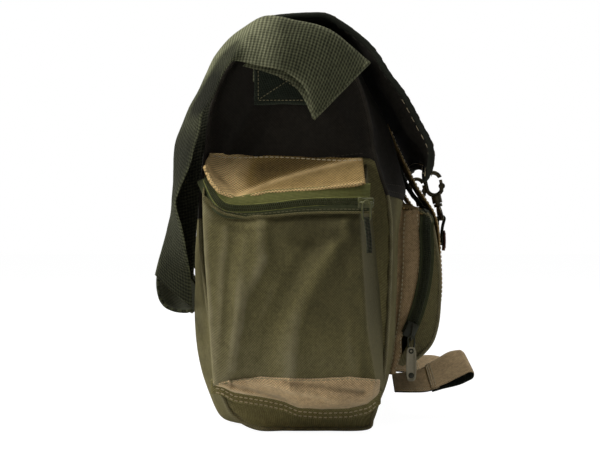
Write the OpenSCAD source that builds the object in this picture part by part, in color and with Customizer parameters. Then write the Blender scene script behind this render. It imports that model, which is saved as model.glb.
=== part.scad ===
// Canvas messenger bag with a covering flap, two zipped end pockets, a zipped
// front pocket, two hook-and-ring flap fastenings and one wide shoulder strap.
// X runs across the bag's width, -Y is the front, +Z is up. The origin is on
// the floor under the middle of the body.

/* [Body] */
// Width of the body across the front
body_w = 320; // [312:1:328]
// Thickness of the canvas panels
canvas_t = 1.8; // [1.2:0.1:2.2]
// Thickness of the end gussets
gusset_t = 2.2; // [1.6:0.1:2.6]
// Thickness of the stiffening board in the bottom
board_t = 3; // [2:0.5:4]
// Thickness of the inner lining cloth
lining_t = 0.8; // [0.4:0.1:1]

/* [Flap] */
// Width of the flap
flap_w = 300; // [294:1:306]
// Thickness of the flap's outer canvas
flap_t = 1.8; // [1.4:0.1:2]
// Thickness of the flap with its lining
flap_all_t = 3.6; // [3.2:0.1:4]
// Width of the folded binding round the flap's edge
binding_w = 6.8; // [5:0.2:8]

/* [End pockets] */
// How far an end pocket stands out from the gusset
end_pocket_d = 47; // [45:1:48]
// Thickness of the end pocket cloth
end_pocket_t = 2.4; // [1.8:0.1:2.6]
// Height of the top seam of the end pocket above the floor
end_pocket_top = 208; // [206:1:209]

/* [Front pocket] */
// Width of the front pocket
front_pocket_w = 230; // [222:1:236]
// Thickness of the front pocket cloth
front_pocket_t = 2; // [1.6:0.1:2.2]

/* [Straps] */
// Width of the shoulder webbing
webbing_w = 48; // [46:1:49]
// Thickness of the shoulder webbing
webbing_t = 2.4; // [2:0.1:2.8]
// Width of the two closing straps and the two tail straps
strap_w = 38; // [30:1:40]
// Distance of each closing strap from the middle of the bag
strap_x = 75; // [70:1:80]
// Thickness of the closing straps
strap_t = 2.2; // [1.6:0.1:2.4]

/* [Hardware] */
// Radius of the D ring wire
ring_r = 1.6; // [1.4:0.1:1.7]
// Radius of the hook wire
hook_r = 1.7; // [1.4:0.1:1.8]
// Running clearance round each metal pin
play = 0.08; // [0.04:0.01:0.1]
// Radius of the zip coil
coil_r = 2; // [1.6:0.1:2.2]

/* [Hidden] */
$fn = 48;
half_w = body_w / 2;
panel_x = half_w - gusset_t - 0.3; // half width of the panels between the gussets

// Colours shared by several pieces
OLIVE = "#8a8462";
BROWN = "#4a423c";
TRIM = "#6e6a4c";
TAN = "#9a8560";
LINING = "#8f8a6c";
ZIP = "#5c5f45";
BRASS = "#8c7440";
LEATHER = "#7a3b2b";
WEBBING = "#6a6a4d";

// ---- profiles: each is a line of [y, z] points on the outer surface, run so
// ---- that the inside of the bag lies on the left of the direction of travel

// Bottom, from the front edge to the back edge
BASE = [[-54.8, 0], [29.2, 0]];
// Lower back, from the bottom up to the colour change
BACK_LOW = [[31, 0], [53, 16.5], [68, 30], [74, 46], [77.6, 76], [76, 130], [75, 160]];
// Upper back, from the colour change to the flap's fold
BACK_UP = [[75, 160.5], [74.6, 174], [68.6, 241], [63, 260], [50.6, 280], [46, 286]];
// Upper front, from the mouth down to the colour change
FRONT_UP = [[-44, 285], [-59, 253], [-70, 232], [-78, 211], [-86.6, 181], [-85, 175.6]];
// Lower front, from the colour change down to the bottom
FRONT_LOW = [[-83.5, 175], [-80, 150], [-78, 60], [-73, 31], [-67, 25.5], [-57, 10.5], [-57, 0]];
// Seam between the lower and upper gusset cloth, back to front
GUSSET_SEAM = [[66, 165], [40, 184], [0, 200], [-48, 206], [-61, 201], [-66, 194], [-72, 181]];
// Inner slip pocket, from its foot up
SLIP_POCKET = [[74.6, 76], [73.2, 130], [72, 174], [70.4, 196]];
// Flap, from the fold at the back over the top to its front edge
FLAP = [
  [50, 288], [38, 303], [24.6, 311.7], [0, 316], [-20, 316], [-28, 313], [-43.5, 301.5],
  [-57, 288], [-69.6, 269], [-79.5, 255.7], [-93.5, 230.7], [-101, 217], [-104.5, 200],
  [-103, 184]
];
// Front pocket face, from its top seam down to its lower seam
POCKET_FACE = [
  [-101, 165.5], [-105, 158], [-109.5, 140], [-112.5, 104], [-111, 75], [-106, 62],
  [-95, 49], [-82, 44]
];
// Closing strap, from its seam high on the front down the pocket face
CLOSING = [
  [-72.8, 234], [-82, 216], [-91, 197.5], [-98, 184.3], [-106.2, 172], [-110.6, 164],
  [-113.8, 152.6], [-115.2, 134.6], [-116.2, 104], [-114.6, 86]
];

// ---- helpers ----
function unit(vector) = vector / norm(vector);
function left_of(vector) = [-vector[1], vector[0]];
// Unit normal on the left of edge i
function edge_normal(points, i) = left_of(unit(points[i + 1] - points[i]));
// Offset of point i that moves both its edges one unit to the left
function mitre(points, i) =
  let (sum = edge_normal(points, max(i, 1) - 1) + edge_normal(points, min(i, len(points) - 2)))
  2 * sum / (sum * sum);
function shifted(points, distance) =
  [for (i = [0 : len(points) - 1]) points[i] + distance * mitre(points, i)];
function backwards(points) = [for (i = [len(points) - 1 : -1 : 0]) points[i]];
function span(points, first, last) = [for (i = [first : last]) points[i]];

// A ribbon between two offsets of one profile, measured to its left
module ribbon(points, near, far) {
  polygon(concat(shifted(points, near), backwards(shifted(points, far))));
}
// A [y, z] shape drawn out along X
module along_x(from, to) {
  translate([from, 0, 0]) rotate([90, 0, 90]) linear_extrude(to - from) children();
}
// An [x, z] shape drawn out along Y
module along_y(from, to) {
  translate([0, to, 0]) rotate([90, 0, 0]) linear_extrude(to - from) children();
}
// Centred rods along X and along Y
module rod_x(radius, length) {
  rotate([0, 90, 0]) cylinder(r = radius, h = length, center = true);
}
module rod_y(radius, length) {
  rotate([90, 0, 0]) cylinder(r = radius, h = length, center = true);
}
// Round wire bent about Z
module bent_wire(bend_r, wire_r, sweep) {
  rotate_extrude(angle = sweep) translate([bend_r, 0]) circle(r = wire_r);
}
// Paired pieces take side = -1 for left (-X) and 1 for right.
// The left end as drawn, the right end mirrored
module at_end(side) {
  if (side < 0) children();
  else mirror([1, 0, 0]) children();
}
// The line of one closing strap
module at_strap(side) { translate([side * strap_x, 0, 0]) children(); }

// ---- body ----
base_t = 2.2;
board_z = 4.2;
board_inset = 8;
lining_gap = 0.6; // between the canvas and the lining
seam_gap = 0.6;   // between the lower and upper gusset cloth

// Full-width panel with its cloth inside the profile
module panel(points, thickness) { along_x(-panel_x, panel_x) ribbon(points, 0, thickness); }
module base_panel() { color(TRIM) panel(BASE, base_t); }
module base_board() {
  board_x = panel_x - board_inset;
  color("#8a7c62") translate([-board_x, -50, board_z]) cube([2 * board_x, 76, board_t]);
}
module front_lower_panel() { color(OLIVE) panel(FRONT_LOW, canvas_t); }
module front_upper_panel() { color(BROWN) panel(FRONT_UP, canvas_t); }
module back_lower_panel() { color(OLIVE) panel(BACK_LOW, canvas_t); }
module back_upper_panel() { color(BROWN) panel(BACK_UP, canvas_t); }

// End gusset below the seam
module gusset_lower(side) {
  color(OLIVE) at_end(side) along_x(-half_w, -half_w + gusset_t)
    polygon(concat(BACK_LOW, GUSSET_SEAM, FRONT_LOW));
}
// End gusset above the seam, up to the mouth
module gusset_upper(side) {
  seam = [for (point = concat([BACK_LOW[6]], GUSSET_SEAM)) point + [0, seam_gap]];
  color(BROWN) at_end(side) along_x(-half_w, -half_w + gusset_t)
    polygon(concat(backwards(seam), span(BACK_UP, 1, 5), [[40, 286]],
                   span(FRONT_UP, 0, 4), [[-84, 176]]));
}
// Folded binding round the open mouth: the front edge and both gusset edges
module mouth_binding() {
  color(TRIM) {
    translate([-panel_x, -46.6, 285.8]) cube([2 * panel_x, 4.6, 4]);
    for (x = [-half_w, half_w - gusset_t])
      translate([x, -41.6, 286.4]) cube([gusset_t, 80, 3.6]);
  }
}
// Inner lining: front, bottom and back as one folded sheet
module lining() {
  near = canvas_t + lining_gap;
  color(LINING) along_x(-panel_x + 1, panel_x - 1)
    ribbon(concat([[-48.7, 275]], span(FRONT_UP, 1, 3), [[-84.2, 181]], FRONT_LOW,
                  span(BACK_LOW, 0, 5), span(BACK_UP, 1, 3)),
           near, near + lining_t);
}
// Open slip pocket on the inside of the back
module inner_slip_pocket() { color(LINING) along_x(-100, 100) ribbon(SLIP_POCKET, 2.2, 3.2); }

// ---- end pockets: drawn at the left end, profiles are [x, z] ----
end_cloth_t = 2.2; // cloth above and below the face
end_tape_t = 1.2;
end_face_z = 42.5; // foot of the face
// Zip coil, and the slider's place along it
end_coil_x = -half_w - 41.6;
end_coil_z = 171;
end_slider_y = -50;
// Cross rod that carries the pull, out from the coil
end_rod_out = 7.6;
end_rod_r = 1;

// Outline of a side wall, measured outwards from the gusset
module pocket_side() {
  outer_x = 3.8 - end_pocket_d;
  polygon([[0, 42], [0, end_pocket_top - 5], [-19, end_pocket_top - 13.5],
           [-32, end_pocket_top - 26.5], [outer_x, 162], [outer_x, 42]]);
}
// Face and the two side walls of the pocket, which lean in towards the face
module pocket_panel(side) {
  color(OLIVE) at_end(side) {
    translate([-half_w - end_pocket_d, -54, end_face_z]) cube([end_pocket_t, 116, 120.5]);
    translate([-half_w - 1, 66, 0]) rotate([0, 0, 5]) along_y(-end_pocket_t, 0) pocket_side();
    translate([-half_w - 1, -66, 0]) rotate([0, 0, -15]) along_y(0, end_pocket_t) pocket_side();
  }
}
// Sloping cloth above the zip
module pocket_top(side) {
  color(TAN) at_end(side) along_y(-60, 64)
    ribbon([[-half_w - 37, end_pocket_top - 25], [-half_w - 20, end_pocket_top - 9.5],
            [-half_w - 1.6, end_pocket_top]], -end_cloth_t, 0);
}
// Rounded cloth below the face, down to the gusset
module pocket_bottom(side) {
  color(TAN) at_end(side) along_y(-56, 62)
    ribbon([[-half_w - 0.6, 16], [-half_w - 26, 20], [-half_w - 42, 32],
            [-half_w - end_pocket_d + 1, 40.6]], -end_cloth_t, 0);
}
// Two tapes with the coil between them
module pocket_zip(side) {
  color(ZIP) at_end(side) along_y(-52, 57) {
    ribbon([[-half_w - 37.4, end_pocket_top - 25.4], [-half_w - 41, 173.6]], 0, end_tape_t);
    translate([end_coil_x, end_coil_z]) circle(r = coil_r);
    ribbon([[-half_w - 42.6, 166.9], [-half_w - end_pocket_d + 1.6, 164.2]], 0, end_tape_t);
  }
}
// Slider shell astride the coil, with two lugs and a cross rod for its pull
module pocket_slider(side) {
  bore_r = coil_r + 0.35;
  color(BRASS) at_end(side) translate([end_coil_x, end_slider_y, end_coil_z]) {
    difference() {
      translate([-coil_r - 1.8, -6, -3.6]) cube([3.6, 12, 7.2]);
      rod_y(bore_r, 20);
      translate([-bore_r, -10, -bore_r]) cube([8, 20, 2 * bore_r]);
    }
    for (y = [-4.6, 3.4]) translate([-8.6, y, -1.1]) cube([5.6, 1.2, 2.2]);
    translate([-end_rod_out, 0, 0]) rod_y(end_rod_r, 9.2);
  }
}
// Pull: a link round the slider's rod, and a wider leash below it
module pocket_pull(side) {
  color(TRIM) at_end(side)
    translate([end_coil_x - end_rod_out, end_slider_y, end_coil_z]) difference() {
      union() {
        rod_y(2, 6);
        translate([-0.9, -3, -12]) cube([1.8, 6, 11]);
        translate([-0.9, -4.5, -33]) cube([1.8, 9, 22]);
      }
      rod_y(end_rod_r + play, 20);
    }
}

// ---- front pocket ----
pocket_x = front_pocket_w / 2;
face_x = pocket_x - 3; // half width of the face and the top zip
pocket_side_t = 2.2;
// Arc the side zips follow: centre [y, z], radius, start angle and sweep
ARC_CENTRE = [50.6, 135];
arc_r = 152.6;
arc_start = 171;
arc_sweep = 34;
zip_gap = 3;            // from the arc to the cloth on each side of it
coil_x = pocket_x + 2.8;
tape_w = 11;
tape_t = 1;
// Slider: angle below the arc centre, and its rod's [x, z] from the coil
slider_angle = 24;
FRONT_ROD = [-8, -6];
front_rod_r = 0.9;

// Inner side cloth, between the bag and the zip, [y, z]
INNER_SIDE = [
  [-83.6, 168], [-99.8, 164], [-102, 120], [-86, 62], [-81, 50], [-80.6, 60], [-82.4, 150]
];
// Outer side cloth, between the zip and the face, [y, z]
OUTER_SIDE = [
  [-103.6, 158], [-108, 140], [-111, 104], [-109.6, 76], [-104.8, 62.8], [-94, 50.6],
  [-82, 46], [-90, 70], [-100, 120]
];

// A [y, z] shape as cloth at both sides of the pocket
module pocket_sides() {
  for (x = [-pocket_x, pocket_x - pocket_side_t]) along_x(x, x + pocket_side_t) children();
}
// The start of the zip arc, in the plane at x
module at_arc(x) {
  translate([x, ARC_CENTRE[0], ARC_CENTRE[1]]) rotate([90, 0, 90]) rotate([0, 0, arc_start])
    children();
}
module front_pocket_face() {
  color(OLIVE) along_x(-face_x, face_x) ribbon(POCKET_FACE, 0, front_pocket_t);
}
// Side cloth between the bag and the zip, and the strip across the top
module front_pocket_gusset() {
  color(TAN) {
    pocket_sides() difference() {
      polygon(INNER_SIDE);
      translate(ARC_CENTRE) difference() {
        circle(r = arc_r + 40, $fn = 180);
        circle(r = arc_r - zip_gap, $fn = 180);
      }
    }
    along_x(-face_x, face_x) ribbon([[-85, 170], [-99.6, 167]], 0, 2);
  }
}
// Outer side cloth between the zip and the face
module front_pocket_piping() {
  color(TRIM) pocket_sides() difference() {
    polygon(OUTER_SIDE);
    translate(ARC_CENTRE) circle(r = arc_r + zip_gap, $fn = 180);
  }
}
// Zip: a coil and tape in an arc down each side, and a straight coil across the top
module front_pocket_zip() {
  color(ZIP) {
    for (x = [-coil_x, coil_x]) at_arc(x)
      rotate_extrude(angle = arc_sweep, $fn = 96) translate([arc_r, 0]) circle(r = coil_r);
    for (x = [-pocket_x - 0.4 - tape_t, pocket_x + 0.4]) at_arc(x)
      rotate_extrude(angle = arc_sweep, $fn = 96)
        translate([arc_r - tape_w / 2, 0]) square([tape_w, tape_t]);
    along_x(-face_x, face_x) translate([-102.8, 168.4]) circle(r = coil_r);
  }
}
// Slider on the left side arc, at the arc's lower end
module front_pocket_slider() {
  bore_r = coil_r + 0.4;
  color("#9b8350") translate([-coil_x, ARC_CENTRE[0], ARC_CENTRE[1]])
    rotate([slider_angle, 0, 0]) translate([0, -arc_r, 0]) {
      difference() {
        translate([-coil_r - 1.8, -4.8, -6]) cube([4, 9.6, 12]);
        cylinder(r = bore_r, h = 20, center = true);
        translate([-bore_r, -bore_r, -10]) cube([8, 2 * bore_r, 20]);
      }
      // lugs and rod, turned back upright
      rotate([-slider_angle, 0, 0]) {
        for (y = [-3.8, 2.8]) translate([-9, y, -7.2]) cube([5.6, 1, 2.4]);
        translate([FRONT_ROD[0], 0, FRONT_ROD[1]]) rotate([0, 90, 90])
          cylinder(r = front_rod_r, h = 7.6, center = true);
      }
    }
}
// Metal tab hanging from the side zip slider; its local X runs down
module front_pocket_pull() {
  rod_y_place = ARC_CENTRE[0] - arc_r * cos(slider_angle);
  rod_z_place = ARC_CENTRE[1] - arc_r * sin(slider_angle) + FRONT_ROD[1];
  color("#b9a071") translate([-coil_x + FRONT_ROD[0], rod_y_place, rod_z_place])
    rotate([0, 90, 90]) difference() {
      union() {
        cylinder(r = 1.9, h = 5, center = true);
        translate([0, -0.8, -2.2]) cube([7, 1.6, 4.4]);
        translate([6, -0.8, -4]) cube([22, 1.6, 8]);
        translate([28, 0, 0]) rod_y(4, 1.6);
      }
      cylinder(r = front_rod_r + play, h = 20, center = true);
      translate([27.6, 0, 0]) rod_y(1.4, 10);
    }
}

// ---- closing straps and hooks ----
HOOK_BAR = [-117.3, 160]; // [y, z] of the axis the hook's eye turns on
hook_lean = 12;           // top of the hook leans back by this angle
loop_r = 3.2;             // outside of the cloth or leather round a bar
eye_r = 1.5;              // wire of the eye
eye_bend = 10;
post_r = 2;
bow_bend = 6.2;
bow_z = 26;               // height of the bow's lower centre above the bar
bow_rise = 6;             // from its lower centre to its upper one
gate_pin_r = 0.8;
// Bends of the bow seen along X: start angle from the back, sweep, lift
BOW = [[-90, 90, 0], [213, 57, 0], [0, 170, bow_rise]];

module front_strap(side) {
  color(TAN) at_strap(side) along_x(-strap_w / 2, strap_w / 2) ribbon(CLOSING, 0, strap_t);
}
// Tab in front of the foot of the hook loop
module leather_tab(side) {
  color(LEATHER) at_strap(side) translate([-8, -120.2, 134]) cube([16, 2, 15]);
}
// Webbing loop that holds the hook's eye bar
module hook_loop(side) {
  color("#3f4a35") at_strap(side) difference() {
    along_x(-7.5, 7.5) union() {
      translate(HOOK_BAR) circle(r = loop_r);
      translate([HOOK_BAR[0] - 0.6, 138]) square([2, 20]);
    }
    translate([0, HOOK_BAR[0], HOOK_BAR[1]]) rod_x(eye_r + play, 40);
  }
}
// Hook frame: origin on the eye bar, Z up the leaning hook
module at_hook(side) {
  translate([side * strap_x, HOOK_BAR[0], HOOK_BAR[1]]) rotate([-hook_lean, 0, 0]) children();
}
// D-shaped eye with the flanged swivel post
module hook_eye(side) {
  color(BRASS) at_hook(side) {
    rod_x(eye_r, 2 * eye_bend);
    rotate([90, 0, 0]) bent_wire(eye_bend, eye_r, 180);
    translate([0, 0, eye_bend]) cylinder(r = post_r, h = 6.4);
    translate([0, 0, eye_bend]) cylinder(r = 3.4, h = 2.6);
  }
}
// Hook: collar on the post, the bow and the fork that holds the gate
module hook_body(side) {
  color(BRASS) at_hook(side) {
    difference() {
      translate([0, 0, 13]) cylinder(r = 4, h = 6);
      translate([0, 0, 12]) cylinder(r = post_r + play, h = 4.8);
    }
    translate([0, 0, bow_z]) rotate([90, 0, 90])
      for (bend = BOW)
        translate([0, bend[2], 0]) rotate([0, 0, bend[0]]) bent_wire(bow_bend, hook_r, bend[1]);
    translate([0, bow_bend, bow_z]) cylinder(r = hook_r, h = bow_rise);
    for (x = [-2.8, 1.6]) along_x(x, x + 1.2) translate([-bow_bend, bow_z]) {
      circle(r = 2.4);
      rotate(17) translate([-1.4, -4.6]) square([2.8, 4.6]);
    }
    translate([0, -bow_bend, bow_z]) rod_x(gate_pin_r, 5);
  }
}
// Gate on its pin
module hook_gate(side) {
  color("#a08a55") at_hook(side) translate([0, -bow_bend, bow_z]) difference() {
    union() {
      rod_x(1.9, 2.8);
      cylinder(r = 1.3, h = 5.2);
    }
    rod_x(gate_pin_r + play, 10);
  }
}

// ---- flap and D rings ----
flap_low_z = 187;
flap_corner_r = 16;
flap_arch = 15;                    // rise of the lower edge at the middle
flap_cloth_inset = binding_w + 0.2;
RING_BAR = [-107, 219];            // [y, z] of the axis each D ring turns on
ring_bend = 14.5;

// Quarter circle of [x, z] points from the start angle
function flap_corner(x, z, start) =
  [for (a = [start : 15 : start + 90]) [x + flap_corner_r * cos(a), z + flap_corner_r * sin(a)]];

// Front outline of the flap as [x, z]: straight sides, rounded corners and a
// lower edge that arches up across the middle
module flap_outline(inset) {
  edge_x = flap_w / 2 - inset;
  low_z = flap_low_z + inset;
  corner_x = edge_x - flap_corner_r;
  corner_z = low_z + flap_corner_r;
  polygon(concat(
    [[-edge_x, 340]],
    flap_corner(-corner_x, corner_z, 180),
    [for (i = [0 : 12]) let (across = -1 + i / 6)
      [across * (edge_x - 20), low_z + flap_arch * pow(cos(90 * abs(across)), 0.6)]],
    flap_corner(corner_x, corner_z, 270),
    [[edge_x, 340]]));
}
// A layer between two depths of the flap, cut to an [x, z] outline
module flap_layer(near, far) {
  intersection() {
    along_x(-flap_w / 2, flap_w / 2) ribbon(FLAP, near, far);
    along_y(-130, 70) children();
  }
}
module flap() { color(BROWN) flap_layer(0, flap_t) flap_outline(flap_cloth_inset); }
module flap_lining() {
  color(LINING) flap_layer(flap_t + 0.1, flap_all_t) flap_outline(flap_cloth_inset);
}
module flap_binding() {
  color(TRIM) flap_layer(0, flap_all_t) difference() {
    flap_outline(0);
    flap_outline(binding_w);
  }
}
// Leather round the ring's bar, with a tail up the outside of the flap
module d_ring_tab(side) {
  color(LEATHER) at_strap(side) difference() {
    along_x(-11, 11) union() {
      translate(RING_BAR) circle(r = loop_r);
      ribbon([[-86, 244.6], [-93.5, 231.2], [-101, 217.6]], -2.4, -0.5);
      ribbon([[-101.6, 222], [-107, 222.2]], -0.1, 1.8);
    }
    translate([0, RING_BAR[0], RING_BAR[1]]) rod_x(ring_r + play, 60);
  }
}
// Straight bar with a half circle of wire below it
module d_ring(side) {
  color(BRASS) translate([side * strap_x, RING_BAR[0], RING_BAR[1]]) {
    rod_x(ring_r, 2 * ring_bend);
    rotate([90, 0, 0]) rotate([0, 0, 180]) bent_wire(ring_bend, ring_r, 180);
  }
}

// ---- shoulder strap: places are [y, z] ----
arm_x = half_w + 12; // inner face of each arm
// Run of webbing behind the bag: its middle and its slope, down and forward
RUN_MID = [97, 104];
RUN_SLOPE = [-26, -40];
RUN_DOWN = unit(RUN_SLOPE);
RUN_IN = -left_of(RUN_DOWN); // towards the bag
// Section of the run: outer top, outer foot, inner foot, inner top
RUN = [for (corner = [[-1, -1], [1, -1], [1, 1], [-1, 1]])
  RUN_MID + corner[0] * RUN_DOWN * webbing_w / 2 + corner[1] * RUN_IN * webbing_t / 2];
// Arm outline over the top and down the back edge to the run
ARM_OUTER = [
  [-53.7, 274.7], [-42.6, 287.6], [-30.8, 295], [-18.9, 302.5], [1, 307], [24, 309],
  [36, 303], [48.5, 293.6], [58.9, 284], [67, 273], [74, 257], [82.6, 239.5],
  [87, 228.4], [90, 215.8], [91.5, 199.5], [91, 177], [96.3, 151.3]
];
// Arm outline from the run back up the front edge
ARM_INNER = [
  [81.4, 118], [83, 151.3], [82.6, 183.2], [80.4, 198], [78.2, 205.4], [73.7, 223.2],
  [67.4, 243.9], [62, 262], [52, 272], [37.4, 276], [17.4, 268], [-4.8, 253.6],
  [-16.7, 234.7]
];
// Strap end standing out at the foot of the front
TAIL = [
  [-80, 20], [-104, 20.7], [-117.6, 24], [-142, 32.2], [-144.5, 35.3], [-139.6, 44.3],
  [-132, 51.2], [-126.6, 50], [-112.7, 41], [-103.8, 35.3], [-92, 33.7], [-80, 33]
];

// Patch on the outside of the gusset, beside the webbing arm
module strap_anchor(side) {
  color(WEBBING) at_end(side) translate([-half_w - 3, -17, 244]) cube([2.6, 50, 40]);
}
// Arms beside the gussets and the run of webbing behind the bag
module shoulder_strap() {
  color(WEBBING) {
    for (x = [-arm_x - webbing_t, arm_x]) along_x(x, x + webbing_t)
      polygon(concat(ARM_OUTER, span(RUN, 0, 2), ARM_INNER));
    along_x(-arm_x - webbing_t, arm_x + webbing_t) polygon(RUN);
  }
}
// Flat metal slide loop round the webbing behind the bag
module strap_adjuster() {
  color(BRASS) translate([60, RUN_MID[0], RUN_MID[1]])
    rotate([atan2(RUN_SLOPE[1], RUN_SLOPE[0]) + 180, 0, 0]) along_x(-5, 5) difference() {
      square([webbing_w + 6, 6.4], center = true);
      square([webbing_w + 1, 3.4], center = true);
    }
}
module tail_strap(side) {
  color(TAN) at_strap(side) along_x(-strap_w / 2, strap_w / 2) polygon(TAIL);
}

base_panel();
base_board();
front_lower_panel();
front_upper_panel();
back_lower_panel();
back_upper_panel();
gusset_lower(-1);  // left_gusset_lower
gusset_lower(1);  // right_gusset_lower
gusset_upper(-1);  // left_gusset_upper
gusset_upper(1);  // right_gusset_upper
mouth_binding();
lining();
inner_slip_pocket();
pocket_panel(-1);  // left_pocket_panel
pocket_panel(1);  // right_pocket_panel
pocket_top(-1);  // left_pocket_top
pocket_top(1);  // right_pocket_top
pocket_bottom(-1);  // left_pocket_bottom
pocket_bottom(1);  // right_pocket_bottom
pocket_zip(-1);  // left_pocket_zip
pocket_zip(1);  // right_pocket_zip
pocket_slider(-1);  // left_pocket_slider
pocket_slider(1);  // right_pocket_slider
pocket_pull(-1);  // left_pocket_pull
pocket_pull(1);  // right_pocket_pull
front_pocket_face();
front_pocket_gusset();
front_pocket_piping();
front_pocket_zip();
front_pocket_slider();
front_pocket_pull();
front_strap(-1);  // left_front_strap
front_strap(1);  // right_front_strap
leather_tab(-1);  // left_leather_tab
leather_tab(1);  // right_leather_tab
hook_loop(-1);  // left_hook_loop
hook_loop(1);  // right_hook_loop
hook_eye(-1);  // left_hook_eye
hook_eye(1);  // right_hook_eye
hook_body(-1);  // left_hook_body
hook_body(1);  // right_hook_body
hook_gate(-1);  // left_hook_gate
hook_gate(1);  // right_hook_gate
flap();
flap_lining();
flap_binding();
d_ring_tab(-1);  // left_d_ring_tab
d_ring_tab(1);  // right_d_ring_tab
d_ring(-1);  // left_d_ring
d_ring(1);  // right_d_ring
strap_anchor(-1);  // left_strap_anchor
strap_anchor(1);  // right_strap_anchor
shoulder_strap();
strap_adjuster();
tail_strap(-1);  // left_tail_strap
tail_strap(1);  // right_tail_strap
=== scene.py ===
"""A canvas satchel with a flap, a front pocket, two end pockets and a shoulder strap.

The bag stands on the floor (z = 0). Its long side runs along x (left is -x), its front
faces -y and its back +y. Shapes are worked out in millimetres and made in metres.
Lights, camera, floor and the hinge points of blends are in metres.
Most pieces are grids of points, (rows, columns, xyz). "way" is -1 on the left, +1 on the
right. Each cloth piece carries a painted value of wear and shading: above 0 is faded cloth
and, in places, painted highlight; below 0 is painted shade.
"""
import math

import bmesh
import bpy
import numpy as np
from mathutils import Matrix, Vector


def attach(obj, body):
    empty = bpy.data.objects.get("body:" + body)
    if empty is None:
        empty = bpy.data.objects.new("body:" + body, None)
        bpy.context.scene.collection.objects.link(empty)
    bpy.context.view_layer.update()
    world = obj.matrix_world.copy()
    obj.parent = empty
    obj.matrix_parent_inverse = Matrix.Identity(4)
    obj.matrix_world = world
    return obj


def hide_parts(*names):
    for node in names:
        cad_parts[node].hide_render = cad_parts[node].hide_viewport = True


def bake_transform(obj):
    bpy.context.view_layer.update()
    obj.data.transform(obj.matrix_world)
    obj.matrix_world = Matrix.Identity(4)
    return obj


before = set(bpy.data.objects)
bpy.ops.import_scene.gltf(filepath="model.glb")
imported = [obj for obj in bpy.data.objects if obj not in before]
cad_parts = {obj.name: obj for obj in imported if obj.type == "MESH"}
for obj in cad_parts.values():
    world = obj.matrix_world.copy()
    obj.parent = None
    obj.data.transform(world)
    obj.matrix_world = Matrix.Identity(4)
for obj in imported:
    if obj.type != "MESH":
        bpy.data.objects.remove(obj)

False  # nothing here is simulated
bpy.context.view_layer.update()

arr = np.array
TAU = 2 * math.pi
SIDES = ((-1, "left"), (1, "right"))
SEAM_X = 160.6  # the end seams, where body panels and gussets meet
GUSSET_X = 160.0  # plane of the gussets
POCKET_X = 160.3  # plane that end pocket depths are measured from
BODY_CENTRE = arr([0, 0, 140.0])
STRAP_X = 75.0  # middle of each closing strap, ring tab and hook


# ------------------------------------------------------------------ maths
def unit(v):
    return v / np.maximum(np.linalg.norm(v, axis=-1, keepdims=True), 1e-9)


def lerp(a, b, t):
    return a + (b - a) * t


def ease(t):
    """0 to 1 with soft ends."""
    t = np.clip(t, 0, 1)
    return t * t * (3 - 2 * t)


def bell(x, width):
    return np.exp(-(x / width) ** 2)


def xyz(x, y, z):
    """Points from coordinates of any shapes that fit together."""
    return np.stack(np.broadcast_arrays(x, y, z), -1)


def ruled(first, second, across):
    """Grid of straight rows between two curves."""
    across = across[None, :, None]
    return first[:, None] * (1 - across) + second[:, None] * across


def bunched(count, power):
    """-1 to 1, closer together near both ends."""
    t = np.linspace(-1, 1, count)
    return np.sign(t) * (1 - (1 - np.abs(t)) ** power)


def run_length(points, axis=0):
    """Length travelled along an axis of the points, starting at 0."""
    steps = np.linalg.norm(np.diff(points, axis=axis), axis=-1)
    return np.insert(np.cumsum(steps, axis=axis), 0, 0, axis=axis)


def read_columns(where, known, table):
    """Every column of a table, interpolated."""
    return np.stack([np.interp(where, known, column) for column in table.T], -1)


def resample(curve, count):
    length = run_length(curve)
    return read_columns(np.linspace(0, length[-1], count), length, curve)


def spline(points, steps, closed=False):
    """Catmull-Rom curve through the points, with some steps between each two."""
    p = arr(points, float)
    if closed:
        p = np.vstack([p[-1], p, p[0], p[1]])
    else:
        p = np.vstack([2 * p[0] - p[1], p, 2 * p[-1] - p[-2]])
    t = np.linspace(0, 1, steps, endpoint=False)[:, None]
    spans = [0.5 * (2 * b + (c - a) * t + (2 * a - 5 * b + 4 * c - d) * t ** 2
                    + (3 * b - a - 3 * c + d) * t ** 3)
             for a, b, c, d in zip(p, p[1:], p[2:], p[3:])]
    return np.vstack(spans + [p[-2:-1]])


def curve(points, count, closed=False):
    """Evenly spaced points along a smooth curve."""
    return resample(spline(points, 24, closed), count)


def edge_pair(rows, count):
    """Two edge curves in step. Each row holds a point of the first, then of the second."""
    both = resample(spline(rows, 12), count)
    half = both.shape[1] // 2
    return both[:, :half], both[:, half:]


def value_noise(p, scale, seed=0):
    """Smooth noise in -1..1. scale is a lump's size in mm, one number or one per axis."""
    q = p / arr(scale, float) + arr([12.7, 45.1, 78.3]) * (1 + seed)
    cell = np.floor(q)
    f = q - cell
    f = f * f * f * (f * (f * 6 - 15) + 10)
    total = 0
    for corner in np.ndindex(2, 2, 2):
        phase = (cell + corner) * (127.1, 311.7, 74.7)
        h = np.sin(phase[..., 0] + phase[..., 1] + phase[..., 2] + seed * 19.19) * 43758.5453
        weight = np.where(corner, f, 1 - f)
        total = total + (h - np.floor(h)) * weight[..., 0] * weight[..., 1] * weight[..., 2]
    return total * 2 - 1


def lumps(p, scale, seed=0):
    """Three layers of noise, each half the size and half the height of the last."""
    scale = arr(scale, float)
    total = 0
    for k in range(3):
        total = total + 0.5 ** k * value_noise(p, scale / 2 ** k, seed + 7 * k)
    return total / 1.75


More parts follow.
